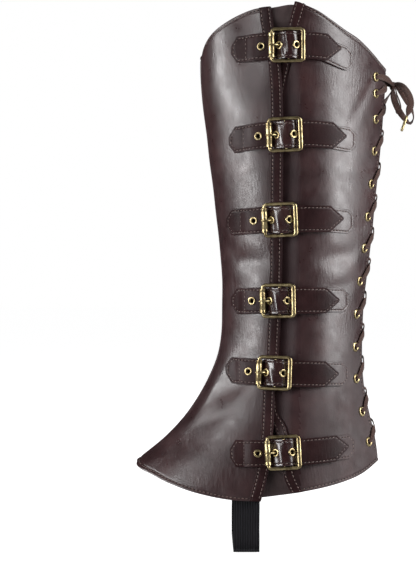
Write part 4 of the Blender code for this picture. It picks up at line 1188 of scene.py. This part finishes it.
stitchForm = {"pitch": 3.1, "long": 2.1, "wide": 0.78, "high": 0.66, "sunk": 0.05, "slant": 7, "hem": 1.9,
              "laced": 2.2, "lacedRows": (-272, 27), "besideStrip": 0.8, "tabStart": 14.5, "hole": 1.05}


def makeStitch():
    # a crown of thread, and a flat dark disc before the next one: painted shadow in the needle hole
    deselectAll()
    bpy.ops.mesh.primitive_uv_sphere_add(segments=6, ring_count=5, radius=0.5 * mm)
    crown = bpy.context.object
    crown.data.transform(Matrix.Diagonal((stitchForm["high"], stitchForm["wide"], stitchForm["long"], 1)))
    crown.data.transform(Matrix.Rotation(pi / 2, 4, "Y"))
    crown.data.materials.append(thread)
    bpy.ops.mesh.primitive_uv_sphere_add(segments=6, ring_count=3, radius=0.5 * mm)
    hole = bpy.context.object
    hole.data.transform(Matrix.Diagonal((stitchForm["hole"], stitchForm["hole"], 0.2, 1)))
    hole.data.transform(Matrix.Translation((stitchForm["pitch"] / 2 * mm, 0, 0)))
    hole.data.materials.append(needleHoleShadow)
    stitch = joinAs("stitch", [crown, hole])
    stitch.data.transform(Matrix.Translation(stitch.location))
    stitch.location = (0, 0, 0)
    stitch.data.shade_smooth()
    return stitch


def seamSpots(line):
    # evenly spaced places, with their directions and outward ways, on a line of (point, outward) pairs
    travelled = [0.0]
    for (a, _), (b, _) in zip(line, line[1:]):
        travelled.append(travelled[-1] + (b - a).length)
    count = max(1, round(travelled[-1] / stitchForm["pitch"]))
    found = []
    i = 0
    for n in range(count):
        at = travelled[-1] * (n + 0.5) / count
        while i < len(line) - 2 and travelled[i + 1] < at:
            i += 1
        (a, outA), (b, outB) = line[i], line[i + 1]
        s = (at - travelled[i]) / max(1e-6, travelled[i + 1] - travelled[i])
        found.append(axesAt(a.lerp(b, s) + outA * stitchForm["sunk"], b - a, outA.lerp(outB, s).normalized()))
    return found


def sewSeam(name, lines):
    base = makeStitch()
    for own in [spot for line in lines for spot in seamSpots(line)]:
        turn = Matrix.Rotation(radians(stitchForm["slant"] + random.uniform(-4, 4)), 4, "Z")
        size = Matrix.Diagonal((random.uniform(0.93, 1.04), 1, random.uniform(0.9, 1.1), 1))
        one = bpy.data.objects.new("stitch", base.data)
        one.matrix_world = scaled(own @ turn @ size)
        bpy.context.scene.collection.objects.link(one)
        one.select_set(True)
    base.select_set(False)
    stitches = bpy.context.selected_objects
    bpy.context.view_layer.objects.active = stitches[0]
    bpy.ops.object.make_single_user(object=True, obdata=True)
    bpy.ops.object.transform_apply(location=True, rotation=True, scale=True)
    seam = joinAs(name, stitches)
    bpy.data.objects.remove(base)
    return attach(seam, "root")


def onPanel(angleOf, z, lift):
    angle = angleOf(z)
    return place(angle, z, lift(angle, z)), outward(angle, z)


def alongBorder(left, right, border, inset, lift):
    # a seam that runs beside a rim or hem, from one edge of its panel to the other
    line = []
    for i in range(121):
        q = i / 120
        z = 0.0
        for _ in range(6):
            angle = between(left(z), right(z), q)
            z = edge(border, abs(angle)) + inset
        line.append((place(angle, z, lift(angle, z) + turnedEdge(abs(inset))), outward(angle, z)))
    return line


def upEdge(angleOf, low, high, lift):
    return [onPanel(angleOf, between(low, high, i / 150), lift) for i in range(151)]


def panelSeams():
    hem = stitchForm["hem"]
    stripped = stripForm["width"] + stitchForm["besideStrip"]
    lastRow = -stitchForm["laced"]
    frontSides = (shinAngle, lambda z: besideEdge(stripped, z))
    rearSides = (lambda z: behindEdge(stripped, z), lambda z: backAngle(-edge("laced", z) + lastRow, z))
    innerSides = (lambda z: backAngle(edge("laced", z) - lastRow, z), lambda z: -shinAngle(z))
    lines = []
    for part, sides, lift in (("Front", frontSides, panelLift), ("Rear", rearSides, rearLift),
                              ("Inner", innerSides, panelLift)):
        lines.append(alongBorder(*sides, "rim" + part, -hem, lift))
        lines.append(alongBorder(*sides, "hem" + part, hem, lift))
    lines.append(upEdge(rearSides[1], *stitchForm["lacedRows"], rearLift))
    lines.append(upEdge(innerSides[0], *stitchForm["lacedRows"], panelLift))
    return sewSeam("panelSeams", lines)


def stripSeams():
    inset = stripForm["stitchIn"]
    over = gap + trim + domed(inset)

    def lifted(lift):
        return lambda angle, z: lift(angle, z) + over

    lines = [upEdge(lambda z: besideEdge(stripForm["shortBy"] + inset, z), -304.5, 71.5, lifted(panelLift)),
             upEdge(lambda z: besideEdge(stripForm["width"] - inset, z), -303.5, 70.5, lifted(panelLift)),
             upEdge(lambda z: behindEdge(stripForm["shortBy"] + inset, z), -300, 75, lifted(rearLift)),
             upEdge(lambda z: behindEdge(stripForm["width"] - inset, z), -299.5, 74.5, lifted(rearLift))]
    return sewSeam("stripSeams", lines)


def insetLoop(corners, inset):
    # the corners of a convex outline, listed anticlockwise, moved in along both of their sides
    found = []
    for i, here in enumerate(corners):
        before, after = corners[i - 1], corners[(i + 1) % len(corners)]
        a, b = (here - before).normalized(), (after - here).normalized()
        inA, inB = Vector((-a.y, a.x)), Vector((-b.y, b.x))
        found.append(here + (inA + inB) * inset / (1 + inA.dot(inB)))
    return found


def outlineLine(corners, spot):
    line = []
    for a, b in zip(corners, corners[1:]):
        steps = max(2, round((b - a).length / 0.8))
        line += [spot(a.lerp(b, n / steps)) for n in range(steps)]
    return line + [spot(corners[-1])]


def strapSeams(strap):
    form = strapForm
    left, tip, half = strap["left"], strap["tip"], form["half"]
    outline = [(tip - form["point"], half), (left + form["bevel"], half), (left, form["flat"]),
               (left, -form["flat"]), (left + form["bevel"], -half), (tip - form["point"], -half),
               (tip, -form["tipHalf"]), (tip, form["tipHalf"])]
    corners = insetLoop([Vector(c) for c in outline], form["stitchIn"])

    def spot(at):
        x, up = at
        z = strapHeight(strap, x, "left" if x < strap["x"] else "tip") + up
        lift = curveValue(*form["rise"], x - strap["x"]) + trim + domed(form["stitchIn"], form["stitchIn"])
        return place(angleAt(x, z), z, lift), outward(angleAt(x, z), z)

    ends = (form["stitchIn"] - half, half - form["stitchIn"])
    cross = [Vector((left + form["crossStitch"], up)) for up in ends]
    return [outlineLine(corners, spot) + [spot(corners[0])], outlineLine(cross, spot)]


def tabSeams(strap):
    form = tabForm
    start, end, half = strap["x"] + stitchForm["tabStart"], strap["tab"], form["half"]
    outline = [(start - 30, half), (start - 30, -half), (end - form["bevel"], -half), (end, -form["flat"]),
               (end, form["flat"]), (end - form["bevel"], half)]
    corners = insetLoop([Vector(c) for c in outline], form["stitchIn"])
    run = [Vector((start, corners[1].y)), *corners[2:], Vector((start, corners[0].y)),
           Vector((start, corners[1].y))]

    def spot(at):
        x, up = at
        z = strapHeight(strap, x, "tab") + up
        swell = form["swell"] * domed(form["stitchIn"], form["stitchIn"])
        lift = curveValue(*form["rise"], x - strap["x"]) + legForm["chape"] / 2 + swell
        return place(angleAt(x, z), z, lift), outward(angleAt(x, z), z)

    return outlineLine(run, spot)


panelSeams()
stripSeams()
strapThread = sewSeam("strapSeams", [line for strap in straps for line in strapSeams(strap)])
tabThread = sewSeam("tabSeams", [tabSeams(strap) for strap in straps])
print("seams sewn")


# The lace halves' lines in metres, and the pieces on each, worked out but not kept

for piece, line, tip, others, half in ((laceFirst, firstLine, agletOuter, [knot], "first"),
                                       (laceSecond, secondLine, agletInner, [], "second")):
    [tuple(point * mm) for point in line]
    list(others)


# Stage, light and camera

def makeFloor():
    deselectAll()
    bpy.ops.mesh.primitive_plane_add(size=30, location=(0, 0, cadLow[2] - 1 * mm))
    floor = bpy.context.object
    floor.name = "floor"
    material, tree, shader = newMaterial("paperWhite")
    shader.inputs["Base Color"].default_value = linear("#9A9A9A")
    shader.inputs["Roughness"].default_value = 0.9
    ray = addNode(tree, "LightPath")
    glow = addNode(tree, "Math", {0: ray.outputs["Is Camera Ray"], 1: 0.985}, operation="MULTIPLY")
    tree.links.new(glow.outputs[0], shader.inputs["Emission Strength"])
    shader.inputs["Emission Color"].default_value = (1, 1, 1, 1)
    floor.data.materials.append(material)


def makeWorld():
    # white to the camera, dim grey to everything that it lights
    world = bpy.data.worlds.new("studio")
    world.use_nodes = True
    tree = world.node_tree
    tree.nodes.clear()
    seen = addNode(tree, "Background", {"Color": (1, 1, 1, 1), "Strength": 1.0})
    lit = addNode(tree, "Background", {"Color": (0.9, 0.92, 1, 1), "Strength": 0.03})
    ray = addNode(tree, "LightPath")
    mix = addNode(tree, "MixShader", {0: ray.outputs["Is Camera Ray"], 1: lit.outputs[0], 2: seen.outputs[0]})
    addNode(tree, "OutputWorld", {"Surface": mix.outputs[0]})
    bpy.context.scene.world = world


lights = {   # softboxes: where each stands, how its long side slants, its width and length, and its power
    "left": ((-0.93, -0.27, -0.02), (-0.285, 0.833, 0.476), (0.2, 1.13), 11),
    "low": ((-1.6, -1.78, 0.62), (-0.49, 0.65, 0.58), (0.3, 1.0), 14),
    "right": ((0.95, -0.38, 0.15), (0, -0.6, 0.8), (0.42, 1.2), 18),
    "top": ((0.1, -0.4, 1.5), (0, 1, 0), (1.2, 1.2), 1.5),
    "back": ((0.3, 1.6, 0.5), (0, 0, 1), (1.4, 1.2), 16),
}


def makeLights():
    target = Vector((0.0, 0.0, -0.12))
    for name, (spot, slant, (width, length), power) in lights.items():
        light = bpy.data.lights.new(name + "Softbox", "AREA")
        light.shape = "RECTANGLE"
        light.size, light.size_y = width, length
        light.energy = power
        holder = bpy.data.objects.new(name + "Softbox", light)
        away = (Vector(spot) - target).normalized()
        holder.matrix_world = axesAt(Vector(spot), Vector(slant), away) @ Matrix.Rotation(-pi / 2, 4, "Z")
        holder.visible_camera = False
        bpy.context.scene.collection.objects.link(holder)


cameraForm = {"sensor": 36, "lens": 97.8, "spot": (-0.0616, -1.25, -0.142)}


def makeCamera():
    camera = bpy.data.cameras.new("camera")
    camera.sensor_width = cameraForm["sensor"]
    camera.lens = cameraForm["lens"]
    holder = bpy.data.objects.new("camera", camera)
    holder.location = cameraForm["spot"]
    holder.rotation_euler = (pi / 2, 0, 0)
    bpy.context.scene.collection.objects.link(holder)
    bpy.context.scene.camera = holder


makeFloor()
makeWorld()
makeLights()
makeCamera()
bpy.context.scene.view_settings.view_transform = "Standard"
